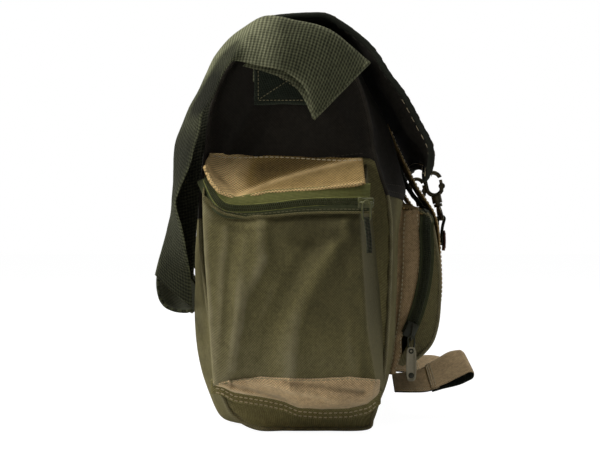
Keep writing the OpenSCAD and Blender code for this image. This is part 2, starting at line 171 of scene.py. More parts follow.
def line_distance(y, z, line):
    """Distance from each (y, z) to a polyline, and the side of it (+ left of travel)."""
    line = arr(line, float)
    best = np.full(y.shape, 1e9)
    side = np.zeros(y.shape)
    for start, end in zip(line[:-1], line[1:]):
        d = end - start
        t = np.clip(((y - start[0]) * d[0] + (z - start[1]) * d[1]) / (d @ d), 0, 1)
        off_y, off_z = y - (start[0] + t * d[0]), z - (start[1] + t * d[1])
        distance = np.hypot(off_y, off_z)
        nearer = distance < best
        best = np.where(nearer, distance, best)
        side = np.where(nearer, np.sign(d[0] * off_z - d[1] * off_y), side)
    return best, side


def height_on(line, y):
    """z of a (y, z) line at y."""
    order = np.argsort(line[:, 0])
    return np.interp(y, line[order, 0], line[order, 1])


def normals(grid, out=None):
    """Normals of a grid, turned to agree with a rough outward direction if given."""
    n = unit(np.cross(np.gradient(grid, axis=0), np.gradient(grid, axis=1)))
    if out is not None and np.mean(np.sum(n * arr(out, float), axis=2)) < 0:
        n = -n
    return n


def along(path, pitch, start=0.0):
    """Rows of the path every pitch mm, with any extra columns, and the tangents there."""
    length = run_length(path[:, :3])
    where = np.arange(start + pitch / 2, length[-1], pitch)
    tangents = read_columns(where, length, np.gradient(path[:, :3], axis=0))
    return read_columns(where, length, path), unit(tangents)


# ------------------------------------------------------------------ meshes
def face_outward(ob):
    """Flips a closed mesh whose volume comes out negative."""
    mesh = ob.data
    co = np.empty(len(mesh.vertices) * 3)
    mesh.vertices.foreach_get("co", co)
    co = co.reshape(-1, 3)
    mesh.calc_loop_triangles()
    tri = np.empty(len(mesh.loop_triangles) * 3, int)
    mesh.loop_triangles.foreach_get("vertices", tri)
    tri = tri.reshape(-1, 3)
    if np.sum(co[tri[:, 0]] * np.cross(co[tri[:, 1]], co[tri[:, 2]])) < 0:
        mesh.flip_normals()


def link_object(name, mesh):
    ob = bpy.data.objects.new(name, mesh)
    bpy.context.scene.collection.objects.link(ob)
    return ob


def make(name, verts, faces, mats, uv=None, wear_and_shading=None, mat_index=None):
    """A smooth-shaded closed mesh, from vertices in mm."""
    mesh = bpy.data.meshes.new(name)
    mesh.from_pydata((arr(verts) * 0.001).tolist(), [], faces)
    mesh.validate(clean_customdata=False)
    if uv is not None:
        corner = np.empty(len(mesh.loops), int)
        mesh.loops.foreach_get("vertex_index", corner)
        layer = mesh.uv_layers.new(name="UVMap")
        layer.data.foreach_set("uv", arr(uv)[corner].astype(np.float32).ravel())
    if wear_and_shading is not None:
        attribute = mesh.attributes.new("wear_and_shading", "FLOAT", "POINT")
        attribute.data.foreach_set("value", arr(wear_and_shading).astype(np.float32).ravel())
    for mat in mats:
        mesh.materials.append(MATS[mat])
    if mat_index is not None:
        mesh.polygons.foreach_set("material_index", arr(mat_index, np.int32))
    mesh.polygons.foreach_set("use_smooth", np.full(len(mesh.polygons), True))
    mesh.update()
    ob = link_object(name, mesh)
    face_outward(ob)
    return ob


def arc_uv(grid):
    """UVs in mm, measured along the middle lines of a grid."""
    u, v = run_length(grid, 0), run_length(grid, 1)
    u = u.mean(1, keepdims=True) * 0.5 + u * 0.5
    v = v - v[:, grid.shape[1] // 2][:, None]
    return np.stack([u, v], 2).reshape(-1, 2)


def closed_sheet(name, top, under, uv, mat, inner, wear_and_shading, under_wear_and_shading):
    """Two grids joined round their borders. inner is the material of the under side."""
    rows, columns = top.shape[:2]
    count = rows * columns
    index = np.arange(count).reshape(rows, columns)
    a = index[:-1, :-1].ravel()
    upper = np.stack([a, a + columns, a + columns + 1, a + 1], 1)
    ring = np.concatenate([index[:, 0], index[-1, 1:], index[-2::-1, -1], index[0, -2:0:-1]])
    after = np.roll(ring, -1)
    rim = np.stack([ring, ring + count, after + count, after], 1)
    faces = np.vstack([upper, (upper + count)[:, ::-1], rim])
    mat_index = np.zeros(len(faces), int)
    if inner:
        mat_index[len(upper):2 * len(upper)] = 1
    return make(name, np.vstack([top.reshape(-1, 3), under.reshape(-1, 3)]), faces.tolist(),
                [mat, inner] if inner else [mat], np.vstack([uv] * 2),
                np.concatenate([wear_and_shading.ravel(), under_wear_and_shading.ravel()]), mat_index)


def slab(name, grid, thick, mat, out, inner=None, wear_and_shading=0.0, edge=0.0):
    """Cloth sheet with its outer surface on the grid. edge dips the outer face's border."""
    wear_and_shading = np.broadcast_to(wear_and_shading, grid.shape[:2])
    n = normals(grid)
    if np.mean(np.sum(n * arr(out, float), axis=2)) < 0:
        grid, wear_and_shading = grid[::-1], wear_and_shading[::-1]
        n = normals(grid)
    if edge:
        border = np.ones(grid.shape[:2])
        border[1:-1, 1:-1] = 0
        grid = grid - n * (edge * border)[..., None]
    return closed_sheet(name, grid, grid - n * thick, arc_uv(grid), mat, inner,
                        wear_and_shading, wear_and_shading * 0.5)


def band(name, first, second, thick, mat, cross=12, crown=0.0, out=(0, 0, 1), inner=None,
         wear_and_shading=0.0, wobble=0.0, seed=1):
    """A strap between two edge curves, thin at its edges. crown lifts its middle."""
    c = np.linspace(0, 1, cross)
    off_middle = np.abs(2 * c - 1)
    grid = ruled(first, second, c)
    n = normals(grid, out)
    grid = grid + n * (crown * (1 - off_middle ** 2))[None, :, None]
    if wobble:
        grid = grid + n * (wobble * lumps(grid, 22, seed))[..., None]
    half = np.maximum(thick / 2 * (1 - off_middle ** 6) ** 0.5, 0.02)[None, :, None]
    wear_and_shading = np.broadcast_to(wear_and_shading, grid.shape[:2])
    # the edges are painted paler: rubbing, and painted highlight on the selvedges
    edge_rub_and_highlight = (off_middle ** 10)[None] * 0.55
    wear_and_shading = np.where(wear_and_shading < 0, wear_and_shading + edge_rub_and_highlight * 0.5, np.maximum(wear_and_shading, edge_rub_and_highlight))
    return closed_sheet(name, grid + n * half, grid - n * half, arc_uv(grid), mat, inner,
                        wear_and_shading, wear_and_shading)


def ring_quads(rings, segs, closed=False):
    """Quads between rings of segs points, as (ring, segment, corner)."""
    i = np.arange(rings if closed else rings - 1)[:, None]
    j = np.arange(segs)[None]
    near, far, after = i * segs, (i + 1) % rings * segs, (j + 1) % segs
    return np.stack([near + j, near + after, far + after, far + j], -1)


def tube(name, path, radius, mat, segs=8, closed=False, wear_and_shading=0.3, flat=1.0):
    """A round cord along a path. flat scales it along its own normal."""
    p = arr(path, float)
    count = len(p)
    if closed:
        tangent = unit(np.roll(p, -1, 0) - np.roll(p, 1, 0))
    else:
        tangent = unit(np.gradient(p, axis=0))
    normal = np.zeros_like(p)
    v = arr([0.0, 0.0, 1.0])
    v = v - tangent[0] * (tangent[0] @ v)
    if np.linalg.norm(v) < 1e-3:
        v = np.cross(tangent[0], [1, 0.3, 0.1])
    v = v / np.linalg.norm(v)
    for i in range(count):
        v = v - tangent[i] * (tangent[i] @ v)
        v = v / max(np.linalg.norm(v), 1e-9)
        normal[i] = v
    side = np.cross(tangent, normal)
    a = np.linspace(0, TAU, segs, endpoint=False)
    verts = p[:, None] + radius * (np.cos(a)[None, :, None] * normal[:, None] * flat
                                   + np.sin(a)[None, :, None] * side[:, None])
    faces = ring_quads(count, segs, closed).transpose(1, 0, 2).reshape(-1, 4).tolist()
    if not closed:
        faces.append(list(range(segs))[::-1])
        faces.append(list(range((count - 1) * segs, count * segs)))
    uv = np.stack([np.repeat(run_length(p), segs), np.tile(a * radius, count)], 1)
    return make(name, verts.reshape(-1, 3), faces, [mat], uv, np.full(count * segs, wear_and_shading))


def beads(name, centres, axes, normal, half_length, half_width, half_height, mat):
    """Many small rounded bars: centres, long axes, normals, half sizes."""
    segs = 6
    axes, normal = unit(axes), arr(normal, float)
    normal = unit(normal - axes * np.sum(normal * axes, axis=1, keepdims=True))
    side = np.cross(axes, normal)
    angles = np.linspace(0, TAU, segs, endpoint=False) + 0.3
    # (place along the bar, share of the full thickness)
    profile = [(-1, 0.3), (-0.72, 0.86), (0, 1), (0.72, 0.86), (1, 0.3)]
    shape = arr([(t, f * math.cos(a), f * math.sin(a)) for t, f in profile for a in angles])
    verts = (centres[:, None] + shape[None, :, 0:1] * axes[:, None] * half_length
             + shape[None, :, 1:2] * side[:, None] * half_width
             + shape[None, :, 2:3] * normal[:, None] * half_height)
    count = len(centres)
    first = (np.arange(count) * len(shape))[:, None]
    quads = ring_quads(len(profile), segs).reshape(-1, 4)
    faces = (quads[None] + first[..., None]).reshape(-1, 4).tolist()
    faces += (np.arange(segs)[::-1] + first).tolist()
    faces += (np.arange(len(shape) - segs, len(shape)) + first).tolist()
    verts = verts.reshape(-1, 3)
    return make(name, verts, faces, [mat], np.tile(shape[:, :2], (count, 1)),
                np.zeros(len(verts)))


def thread_row(name, path, normal, mat, pitch=3.2, length=2.3, radius=0.34, lift=0.0):
    """A row of thread stitches along a path. normal is one direction or one per point."""
    normal = np.broadcast_to(arr(normal, float), path.shape)
    rows, tangents = along(np.hstack([path, normal]), pitch)
    up = unit(rows[:, 3:6])
    return beads(name, rows[:, :3] + up * lift, tangents, up, length / 2,
                 radius, radius * 0.8, mat)


def threads(paths, normal, mat="thread_pale", **sizes):
    """Stitch rows to be joined to another piece."""
    return [thread_row("thread", path, normal, mat, **sizes) for path in paths]


STITCH_ROWS = []


def stitches(name, path, normal, mat="thread_pale", pitch=3.5, length=2.5, radius=0.40):
    """A separate row of raised stitches on the bag."""
    ob = thread_row(name, path, normal, mat, pitch, length, radius, lift=0.12)
    ob["t_body"] = "bag"
    STITCH_ROWS.append(ob)


def rounded_box(centre, half, bevel, mat, axes):
    """A block with rounded edges, on its own axes."""
    bm = bmesh.new()
    bmesh.ops.create_cube(bm, size=2.0)
    for v in bm.verts:
        v.co = Vector((v.co.x * half[0], v.co.y * half[1], v.co.z * half[2]))
    bmesh.ops.bevel(bm, geom=list(bm.edges), offset=bevel, segments=2, profile=0.5,
                    affect="EDGES")
    for v in bm.verts:
        v.co = Vector((centre + v.co.x * axes[0] + v.co.y * axes[1] + v.co.z * axes[2]) * 0.001)
    mesh = bpy.data.meshes.new("block")
    bm.to_mesh(mesh)
    bm.free()
    mesh.materials.append(MATS[mat])
    mesh.polygons.foreach_set("use_smooth", np.full(len(mesh.polygons), True))
    ob = link_object("block", mesh)
    face_outward(ob)
    return ob


def disc(centre, radius, height, mat, hole=0.0):
    """A turned disc or washer with softened rims, about the x axis."""
    bevel, segs = 0.25, 28
    axis = arr([1.0, 0, 0])
    u = np.cross(axis, [0.3, 0.9, 0.2])
    u = u / np.linalg.norm(u)
    v = np.cross(axis, u)
    top = height / 2
    profile = arr([(hole, -top), (radius - bevel, -top), (radius, -top + bevel),
                   (radius, top - bevel), (radius - bevel, top), (hole, top)])
    a = np.linspace(0, TAU, segs, endpoint=False)[None, :, None]
    verts = (arr(centre, float) + axis * profile[:, 1, None, None]
             + (u * np.cos(a) + v * np.sin(a)) * np.maximum(profile[:, 0], 0.001)[:, None, None])
    rings = len(profile)
    faces = ring_quads(rings, segs, closed=bool(hole)).reshape(-1, 4).tolist()
    if not hole:
        faces.append(list(range(segs)))
        faces.append(list(range((rings - 1) * segs, rings * segs))[::-1])
    return make("disc", verts.reshape(-1, 3), faces, [mat])


def join(objs, name):
    bpy.ops.object.select_all(action="DESELECT")
    for ob in objs:
        ob.select_set(True)
    bpy.context.view_layer.objects.active = objs[0]
    bpy.ops.object.join()
    objs[0].name = name
    objs[0].data.name = name
    return objs[0]


def place(ob, slot, *nodes, body="bag", blend=None):
    if blend:
        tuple(blend[2])
        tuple(blend[3])
        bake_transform(ob)
    else:
        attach(ob, body)
    if nodes:
        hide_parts(*nodes)


def paint(node, mat):
    """Gives a CAD piece that is kept its material."""
    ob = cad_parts[node]
    if not ob.data.materials:
        ob.data.materials.append(MATS[mat])
    for slot in ob.material_slots:
        slot.material = MATS[mat]


# ------------------------------------------------------------------ materials
MATS = {}


class Shader:
    """A material's node tree, with short ways to add nodes."""

    def __init__(self, name):
        MATS[name] = bpy.data.materials.new(name)
        MATS[name].use_nodes = True
        self.tree = MATS[name].node_tree
        self.surface = self.tree.nodes["Principled BSDF"].inputs
        self.place = self.new("ShaderNodeTexCoord").outputs["Object"]

    def new(self, kind):
        return self.tree.nodes.new(kind)

    def link(self, output, socket):
        self.tree.links.new(output, socket)

    def math(self, operation, *values, clamp=False):
        node = self.new("ShaderNodeMath")
        node.operation = operation
        node.use_clamp = clamp
        for socket, value in zip(node.inputs, values):
            if isinstance(value, (int, float)):
                socket.default_value = value
            else:
                self.link(value, socket)
        return node.outputs[0]

    def add(self, a, b):
        return self.math("ADD", a, b)

    def sub(self, a, b):
        return self.math("SUBTRACT", a, b)

    def mul(self, a, b, clamp=False):
        return self.math("MULTIPLY", a, b, clamp=clamp)

    def mul_add(self, value, gain, offset, clamp=False):
        return self.math("MULTIPLY_ADD", value, gain, offset, clamp=clamp)

    def sine(self, value):
        return self.math("SINE", value)

    def contrast(self, value, gain, middle):
        """A 0..1 texture stretched about its middle, and clamped."""
        return self.mul_add(self.sub(value, 0.5), gain, middle, clamp=True)

    def noise(self, scale, detail=3.0, rough=0.55):
        node = self.new("ShaderNodeTexNoise")
        node.inputs["Scale"].default_value = scale
        node.inputs["Detail"].default_value = detail
        node.inputs["Roughness"].default_value = rough
        self.link(self.place, node.inputs["Vector"])
        return node.outputs[0]

    def mix(self, share, first, second):
        node = self.new("ShaderNodeMix")
        node.data_type = "RGBA"
        self.link(share, node.inputs[0])
        for socket, value in ((node.inputs[6], first), (node.inputs[7], second)):
            if isinstance(value, tuple):
                socket.default_value = (*value, 1)
            else:
                self.link(value, socket)
        return node.outputs[2]

    def tint(self, value, colour):
        """A colour scaled by a value."""
        node = self.new("ShaderNodeCombineColor")
        for socket, channel in zip(node.inputs, colour):
            self.link(self.mul(value, float(channel)), socket)
        return node.outputs[0]

    def bump(self, height, strength, distance):
        node = self.new("ShaderNodeBump")
        node.inputs["Strength"].default_value = strength
        node.inputs["Distance"].default_value = distance
        self.link(height, node.inputs["Height"])
        self.link(node.outputs[0], self.surface["Normal"])

    def set(self, name, value):
        self.surface[name].default_value = value


def weave_height(sh, u, v, mid, pitch, kind):
    """Height of the threads, -1..1, over UVs in mm."""
    per_mm = TAU / pitch
    if kind == "twill":
        return sh.sine(sh.mul(sh.add(u, v), per_mm))
    if kind == "tape":
        return sh.sine(sh.mul(v, per_mm))
    wander = sh.mul(sh.sub(mid, 0.5), 0.7)
    if kind == "web":
        # coarse ribs across the strap, slightly slanted, broken into columns
        slant = sh.mul(sh.add(u, sh.mul(v, 0.42)), per_mm)
        ribs = sh.sine(sh.add(slant, sh.mul(wander, 1.5)))
        columns = sh.sine(sh.mul(sh.sub(v, sh.mul(u, 0.12)), TAU / (pitch * 0.92)))
        return sh.add(sh.mul(ribs, 0.62), sh.mul(columns, 0.38))
    warp = sh.sine(sh.add(sh.mul(u, per_mm), wander))
    weft = sh.sine(sh.add(sh.mul(v, per_mm), wander))
    return sh.mul(warp, weft)


def cloth(name, colour, pale=None, pitch=1.05, weave=0.55, mottle=0.5, rough=0.92,
          sheen=0.25, bump=0.35, pale_gain=0.8, kind="plain"):
    """Woven cloth.

    pale is its colour where worn and under painted highlight, pitch the thread spacing in mm,
    weave and mottle how much threads and blotches darken it, and the pale colour's gain how far
    painted wear and highlight show.
    """
    pale = pale or tuple(min(1, c * 2.0 + 0.02) for c in colour)
    sh = Shader(name)
    uv_map = sh.new("ShaderNodeUVMap")
    uv_map.uv_map = "UVMap"
    split = sh.new("ShaderNodeSeparateXYZ")
    sh.link(uv_map.outputs[0], split.inputs[0])
    fine = sh.noise(scale=900, detail=2.0)
    slub = sh.noise(scale=380, detail=3.0, rough=0.6)
    mid = sh.noise(scale=95, detail=4.0, rough=0.6)
    big = sh.noise(scale=17, detail=3.0)
    height = weave_height(sh, split.outputs[0], split.outputs[1], mid, pitch, kind)
    height = sh.mul_add(height, 0.5, 0.5)
    attribute = sh.new("ShaderNodeAttribute")
    attribute.attribute_name = "wear_and_shading"
    wear_and_shading = attribute.outputs["Fac"]
    # the pale share: painted wear and painted highlight
    worn_and_lit = sh.mul(wear_and_shading, sh.mul_add(mid, 1.6, 0.1), clamp=True)
    shade = sh.mul_add(sh.sub(big, 0.5), mottle * 1.2, 1.0)
    for texture, gain in ((mid, mottle), (fine, mottle * 1.1), (slub, mottle * 1.9)):
        shade = sh.add(shade, sh.mul(sh.sub(texture, 0.5), gain))
    # values below zero are painted shade
    shade = sh.mul(shade, sh.sub(1.0, sh.mul(wear_and_shading, -1.0, clamp=True)))
    shade = sh.mul(shade, sh.mul_add(height, weave, 1.0 - weave * 0.5))
    shade = sh.math("MAXIMUM", shade, 0.10)
    fresh_colour = sh.tint(shade, colour)
    pale_colour = sh.tint(sh.mul_add(height, weave * 0.8, 1.0 - weave * 0.4), pale)
    base = sh.mix(sh.mul(worn_and_lit, pale_gain, clamp=True), fresh_colour, pale_colour)
    sh.link(base, sh.surface["Base Color"])
    sh.set("Roughness", rough)
    sh.set("Specular IOR Level", 0.18)
    sh.set("Sheen Weight", sheen)
    sh.set("Sheen Roughness", 0.5)
    sh.set("Sheen Tint", (*[min(1, c * 4 + 0.1) for c in colour], 1))
    relief = sh.add(sh.mul(height, 0.6), sh.mul(fine, 0.5))
    relief = sh.add(relief, sh.mul(mid, 0.5))
    relief = sh.add(relief, sh.mul(slub, 0.6))
    sh.bump(relief, strength=bump, distance=0.0007)


def metal(name, colour, dark, rough=0.38):
    sh = Shader(name)
    coarse = sh.noise(scale=260, detail=5.0, rough=0.65)
    fine = sh.noise(scale=260 * 4.5, detail=2.0)
    share = sh.contrast(coarse, gain=3.2, middle=0.5)
    sh.link(sh.mix(share, dark, colour), sh.surface["Base Color"])
    sh.set("Metallic", 0.92)
    sh.link(sh.mul_add(fine, 0.25, rough - 0.1), sh.surface["Roughness"])
    sh.bump(coarse, strength=0.18, distance=0.0003)


def painted(name, colour, dark, rough=0.5):
    sh = Shader(name)
    blotch = sh.noise(scale=160, detail=4.0, rough=0.6)
    share = sh.contrast(blotch, gain=2.0, middle=0.6)
    sh.link(sh.mix(share, dark, colour), sh.surface["Base Color"])
    sh.set("Metallic", 0.25)
    sh.set("Roughness", rough)
    sh.bump(blotch, strength=0.12, distance=0.0002)


def leather(name, colour, dark):
    sh = Shader(name)
    grain = sh.new("ShaderNodeTexVoronoi")
    grain.inputs["Scale"].default_value = 750
    sh.link(sh.place, grain.inputs["Vector"])
    share = sh.contrast(sh.noise(scale=120, detail=4.0), gain=2.4, middle=0.5)
    sh.link(sh.mix(share, dark, colour), sh.surface["Base Color"])
    sh.set("Roughness", 0.5)
    sh.bump(grain.outputs["Distance"], strength=0.3, distance=0.0003)


def board(name, colour, dark):
    sh = Shader(name)
    share = sh.noise(scale=220, detail=4.0)
    sh.link(sh.mix(share, dark, colour), sh.surface["Base Color"])
    sh.set("Roughness", 0.75)


def make_materials():
    olive = (0.118, 0.103, 0.044)
    canvas = dict(pitch=1.9, weave=0.75, mottle=0.42, bump=0.5, pale_gain=0.6)
    thread = dict(pitch=0.5, weave=0.3, mottle=0.3)
    coil = dict(pitch=0.6, weave=0.2, mottle=0.3, rough=0.5, bump=0.1)
    tape = dict(pitch=1.1, weave=0.5, kind="tape", mottle=0.3)
    cloth("olive_canvas", olive, pale=(0.235, 0.21, 0.13), **canvas)
    cloth("olive_canvas_gusset", tuple(c * 1.55 for c in olive), pale=(0.26, 0.235, 0.145),
          **canvas)
    cloth("dark_canvas", (0.0150, 0.0128, 0.0098), pale=(0.050, 0.043, 0.034), pitch=1.9,
          weave=0.6, mottle=0.5, sheen=0.06)
    cloth("khaki_canvas", (0.215, 0.140, 0.046), pale=(0.66, 0.47, 0.23), pitch=2.4,
          weave=1.5, mottle=0.45, bump=0.9, pale_gain=0.8, sheen=0.08)
    cloth("khaki_canvas_deep", (0.31, 0.215, 0.115), pale=(0.33, 0.25, 0.15), pitch=1.8,
          weave=0.6, mottle=0.55, bump=0.5, pale_gain=0.6)
    cloth("binding_cloth", (0.0105, 0.0118, 0.0085), pale=(0.024, 0.026, 0.019), pitch=1.5,
          kind="twill", mottle=0.5, sheen=0.03)
    cloth("lining_cloth", (0.20, 0.185, 0.12), pitch=0.9, weave=0.3, mottle=0.3)
    cloth("webbing", (0.052, 0.055, 0.030), pale=(0.20, 0.205, 0.125), pitch=2.6,
          weave=1.6, kind="web", bump=1.0, mottle=0.5, sheen=0.2)
    # a darker copy of the webbing: painted shade on the strap's second layer, and dark cloth for the
    # end pulls' leashes
    cloth("webbing_dark_and_shaded", (0.021, 0.022, 0.013), pale=(0.09, 0.095, 0.065), pitch=2.5,
          weave=1.25, kind="web", bump=1.0, mottle=0.5, sheen=0.1)
    # dark webbing; on the strap's sewn patch its darkness is painted shade
    cloth("dark_webbing", (0.016, 0.021, 0.014), pale=(0.06, 0.07, 0.05), pitch=1.8,
          weave=0.9, kind="web", bump=0.8, mottle=0.4)
    cloth("zip_cord", (0.17, 0.175, 0.050), pitch=0.8, weave=0.4, kind="tape", mottle=0.4)
    painted("olive_lacquer", (0.105, 0.105, 0.035), (0.030, 0.032, 0.014), rough=0.42)
    cloth("zip_tape", (0.120, 0.122, 0.035), pale=(0.20, 0.21, 0.10), **tape)
    cloth("zip_tape_dark", (0.040, 0.045, 0.020), pale=(0.09, 0.095, 0.05), **tape)
    cloth("zip_coil", (0.052, 0.056, 0.022), **coil)
    cloth("zip_coil_dark", (0.034, 0.038, 0.020), **coil)
    cloth("thread_pale", (0.56, 0.47, 0.30), **thread)
    cloth("thread_olive", (0.24, 0.215, 0.125), **thread)
    cloth("thread_drab", (0.12, 0.108, 0.055), **thread)
    # a lighter copy of the khaki: painted light on the tail straps and the pocket bottoms
    cloth("khaki_canvas_lit", (0.455, 0.322, 0.176), pale=(0.62, 0.48, 0.30), pitch=2.0,
          weave=0.9, mottle=0.45, bump=0.6, pale_gain=0.7)
    cloth("thread_dark", (0.040, 0.035, 0.026), **thread)
    metal("antique_brass", (0.10, 0.085, 0.05), (0.028, 0.024, 0.017))
    metal("worn_brass", (0.30, 0.245, 0.14), (0.075, 0.06, 0.035), rough=0.36)
    painted("painted_zinc", (0.34, 0.305, 0.215), (0.24, 0.215, 0.15))
    painted("dark_zinc", (0.034, 0.035, 0.018), (0.014, 0.015, 0.009), rough=0.45)
    leather("leather_tab", (0.115, 0.034, 0.018), (0.045, 0.014, 0.009))
    board("stiff_board", colour=(0.30, 0.26, 0.19), dark=(0.20, 0.17, 0.12))


# ------------------------------------------------------------------ body
# Section of the bag from the front mouth, under the base, to the back mouth. Each row is
# (y, z) of the full section, then (y, z) of the tighter one at the end seams.
SECTION = arr([
    (-44, 286, -40, 284), (-51, 270, -44, 268), (-59, 253, -50, 252), (-70, 232, -55, 232),
    (-77.5, 211, -58, 211), (-82.5, 194, -63, 193), (-85, 181, -67, 181),
    (-83, 173, -69, 173), (-80, 150, -71, 150), (-79, 110, -70, 110), (-78, 70, -68, 70),
    (-73.5, 38, -65, 40), (-67, 20, -61.5, 24), (-60, 6, -57, 10), (-52, 0.9, -52, 2.6),
    (-20, 0.3, -20, 2), (10, 0.3, 8, 2), (46, 1.0, 30, 2.6), (60, 5, 47, 12),
    (68.5, 21, 56, 28), (77, 46, 61, 46), (79.6, 76, 64, 76), (80, 105, 68, 105),
    (79.2, 130, 71, 130), (77.5, 160, 72, 160), (76.5, 180, 71.5, 180), (73, 210, 68, 210),
    (68.6, 241, 64, 241), (62.5, 262, 57, 262), (52, 279, 48, 277), (46, 286, 42, 285)], float)
FINE_ROWS = 1200
FULL_LINE, SEAM_LINE = edge_pair(SECTION, FINE_ROWS)
# the fine row nearest to each section point
STATION_ROWS = [np.argmin(np.hypot(*(FULL_LINE - point).T)) for point in SECTION[:, :2]]


def station(k):
    """Fine row of section point k, which may be fractional."""
    return np.interp(k, np.arange(len(SECTION)), STATION_ROWS)


def section_at(rows):
    """(y, z) of the full and the seam section at fine rows."""
    known = np.arange(FINE_ROWS)
    return read_columns(rows, known, FULL_LINE), read_columns(rows, known, SEAM_LINE)


def section(count, first=0, last=30):
    return section_at(np.linspace(station(first), station(last), count))


def body_panel(rows, start, end, grow=0.0, seed=0):
    """One cloth panel. start and end are section points, each (mid length, at the ends)."""
    x = SEAM_X * bunched(150, 1.25)
    off = np.abs(x)
    to_end = ease((off - 70) / 88)
    first, last = [lerp(station(mid), station(tip), to_end) for mid, tip in (start, end)]
    full, seam = section_at(first + (last - first) * np.linspace(0, 1, rows)[:, None])
    yz = lerp(full, seam, (ease((off - 104) / 58) ** 1.5)[:, None])
    grid = xyz(x, yz[..., 0], yz[..., 1])
    n = normals(grid, grid - BODY_CENTRE)
    relief = 1.5 * lumps(grid, (60, 60, 60), 3 + seed) + 0.7 * lumps(grid, (17, 22, 30), 5 + seed)
    # long soft creases hanging from the top
    creases = lumps(grid * (1, 1, 0.25), (14, 30, 14), 9 + seed)
    relief = relief + 0.9 * creases * ease((off - 40) / 90)
    puckers = (0.5 * np.sin(np.arange(rows)[:, None] * 0.9 + 1.3 * value_noise(grid, 30, 4))
               * bell(160 - off, 7.0))
    relief = relief * (1 - ease((off - 135) / 24)) + puckers
    relief = relief * ease(grid[..., 2] / 14) + grow
    wear_and_shading = bell(SEAM_X - off, 3.0) * 0.8 + 0.25 * value_noise(grid, 26, 2) ** 2
    return grid + n * relief[..., None], n, np.clip(wear_and_shading, 0, 1)


def body_shell():
    grid, _, wear_and_shading = body_panel(150, (7, 6.38), (24, 24), seed=1)
    off, y, z = np.abs(grid[..., 0]), grid[..., 1], grid[..., 2]
    # painted shade at the front of each end, which faces away from the light: the fading is held back
    # and the cloth darkened above 60 mm
    wear_and_shading = wear_and_shading * (1 - 0.8 * ease((off - 130) / 14) * (y < -50))
    wear_and_shading = wear_and_shading - 0.62 * ease((off - 132) / 18) * ease((-y - 45) / 15) * ease((z - 60) / 60)
    place(slab("Body_lower", grid, 1.8, "olive_canvas", grid - BODY_CENTRE,
               inner="lining_cloth", wear_and_shading=wear_and_shading),
          "olive_canvas", "front_lower_panel", "base_panel", "back_lower_panel")
    # the dark upper panels overlap the olive cloth
    panels = {}
    for name, rows, start, end, seed in (("front", 60, (0, 0), (7.15, 6.53), 2),
                                         ("back", 70, (24, 24), (30, 30), 4)):
        grid, n, wear_and_shading = body_panel(rows, start, end, grow=0.9, seed=seed)
        place(slab(f"Body_{name}_upper", grid, 1.8, "dark_canvas", grid - BODY_CENTRE,
                   inner="lining_cloth", wear_and_shading=wear_and_shading * 0.6), "dark_canvas", f"{name}_upper_panel")
        panels[name] = grid, n
    for name, row in (("front", 57), ("front", 54), ("back", 2), ("back", 5)):
        grid, n = panels[name]
        stitches(f"Seam_stitch_{name}_{row}", grid[row, 3:-3], n[row, 3:-3], "thread_dark",
                 radius=0.36)


# (y, z) of the seam between the lower and upper gusset
GUSSET_SEAM = arr([(-90, 168), (-75, 177), (-71, 186), (-66, 195), (-60, 202), (-55, 205),
                   (-48, 206), (0, 200), (40, 184), (66, 165), (90, 160)], float)
# slack folds below the strap's sewn patch: start (y, z), end (y, z), height
PATCH_FOLDS = [((-30, 244), (-52, 204), 2.2), ((32, 243), (58, 196), 2.0),
               ((-8, 240), (-14, 212), 1.4), ((14, 240), (30, 206), 1.3)]


def gusset_grid(way, upper):
    """Grid and painted wear and shade of the lower or upper gusset: rows front to back, columns going
    up.
    """
    _, seam = section(900)
    base = np.argmin(np.abs(seam[:, 0] + 20) + (seam[:, 1] > 20) * 99)
    front, back = seam[:base][::-1], seam[base:]
    # a tiny slope keeps the heights rising
    back_z = np.maximum.accumulate(back[:, 1]) + np.arange(len(back)) * 1e-6
    a, t = np.meshgrid(np.linspace(0, 1, 90), np.linspace(0, 1, 90), indexing="ij")
    y = lerp(-55, 60, a)
    # y and the seam's height depend on each other, so settle them step by step
    for _ in range(14):
        seam_z = np.interp(y, GUSSET_SEAM[:, 0], GUSSET_SEAM[:, 1])
        z = lerp(seam_z, lerp(284.4, 285.4, a), t) if upper else lerp(2.6, seam_z, t)
        front_y = np.interp(z, front[:, 1], front[:, 0])
        y = y * 0.4 + 0.6 * lerp(front_y, np.interp(z, back_z, back[:, 0]), a)
    edge = np.minimum(a, 1 - a)
    grid = xyz(way * GUSSET_X, y, z)
    seed = 2 if upper else 1
    relief = 4.5 * ease(edge / 0.35) * ease(z / 40) * ease((300 - z) / 60)
    relief = relief + 1.0 * lumps(grid, 34, 11 + seed + way) + 0.6 * lumps(grid, (30, 9, 26), 15 + seed)
    if upper:
        for start, end, height in PATCH_FOLDS:
            relief = relief + height * bell(line_distance(y, z, [start, end])[0], 4.5)
    grid[..., 0] = way * (GUSSET_X + relief * ease(edge / 0.10))
    wear_and_shading = bell(edge, 0.03) * 0.7
    if upper:
        # painted shade towards the back of the upper gusset, under the strap
        return grid, (wear_and_shading - 0.35 * ease((y - 12) / 24)) * 0.7
    # painted shade towards the front of the lower gusset: less fading, and darker above 95 mm
    wear_and_shading = wear_and_shading * (1 - 0.7 * ease((-y - 40) / 12))
    return grid, wear_and_shading - 0.42 * ease((-y - 42) / 14) * ease((z - 95) / 60)


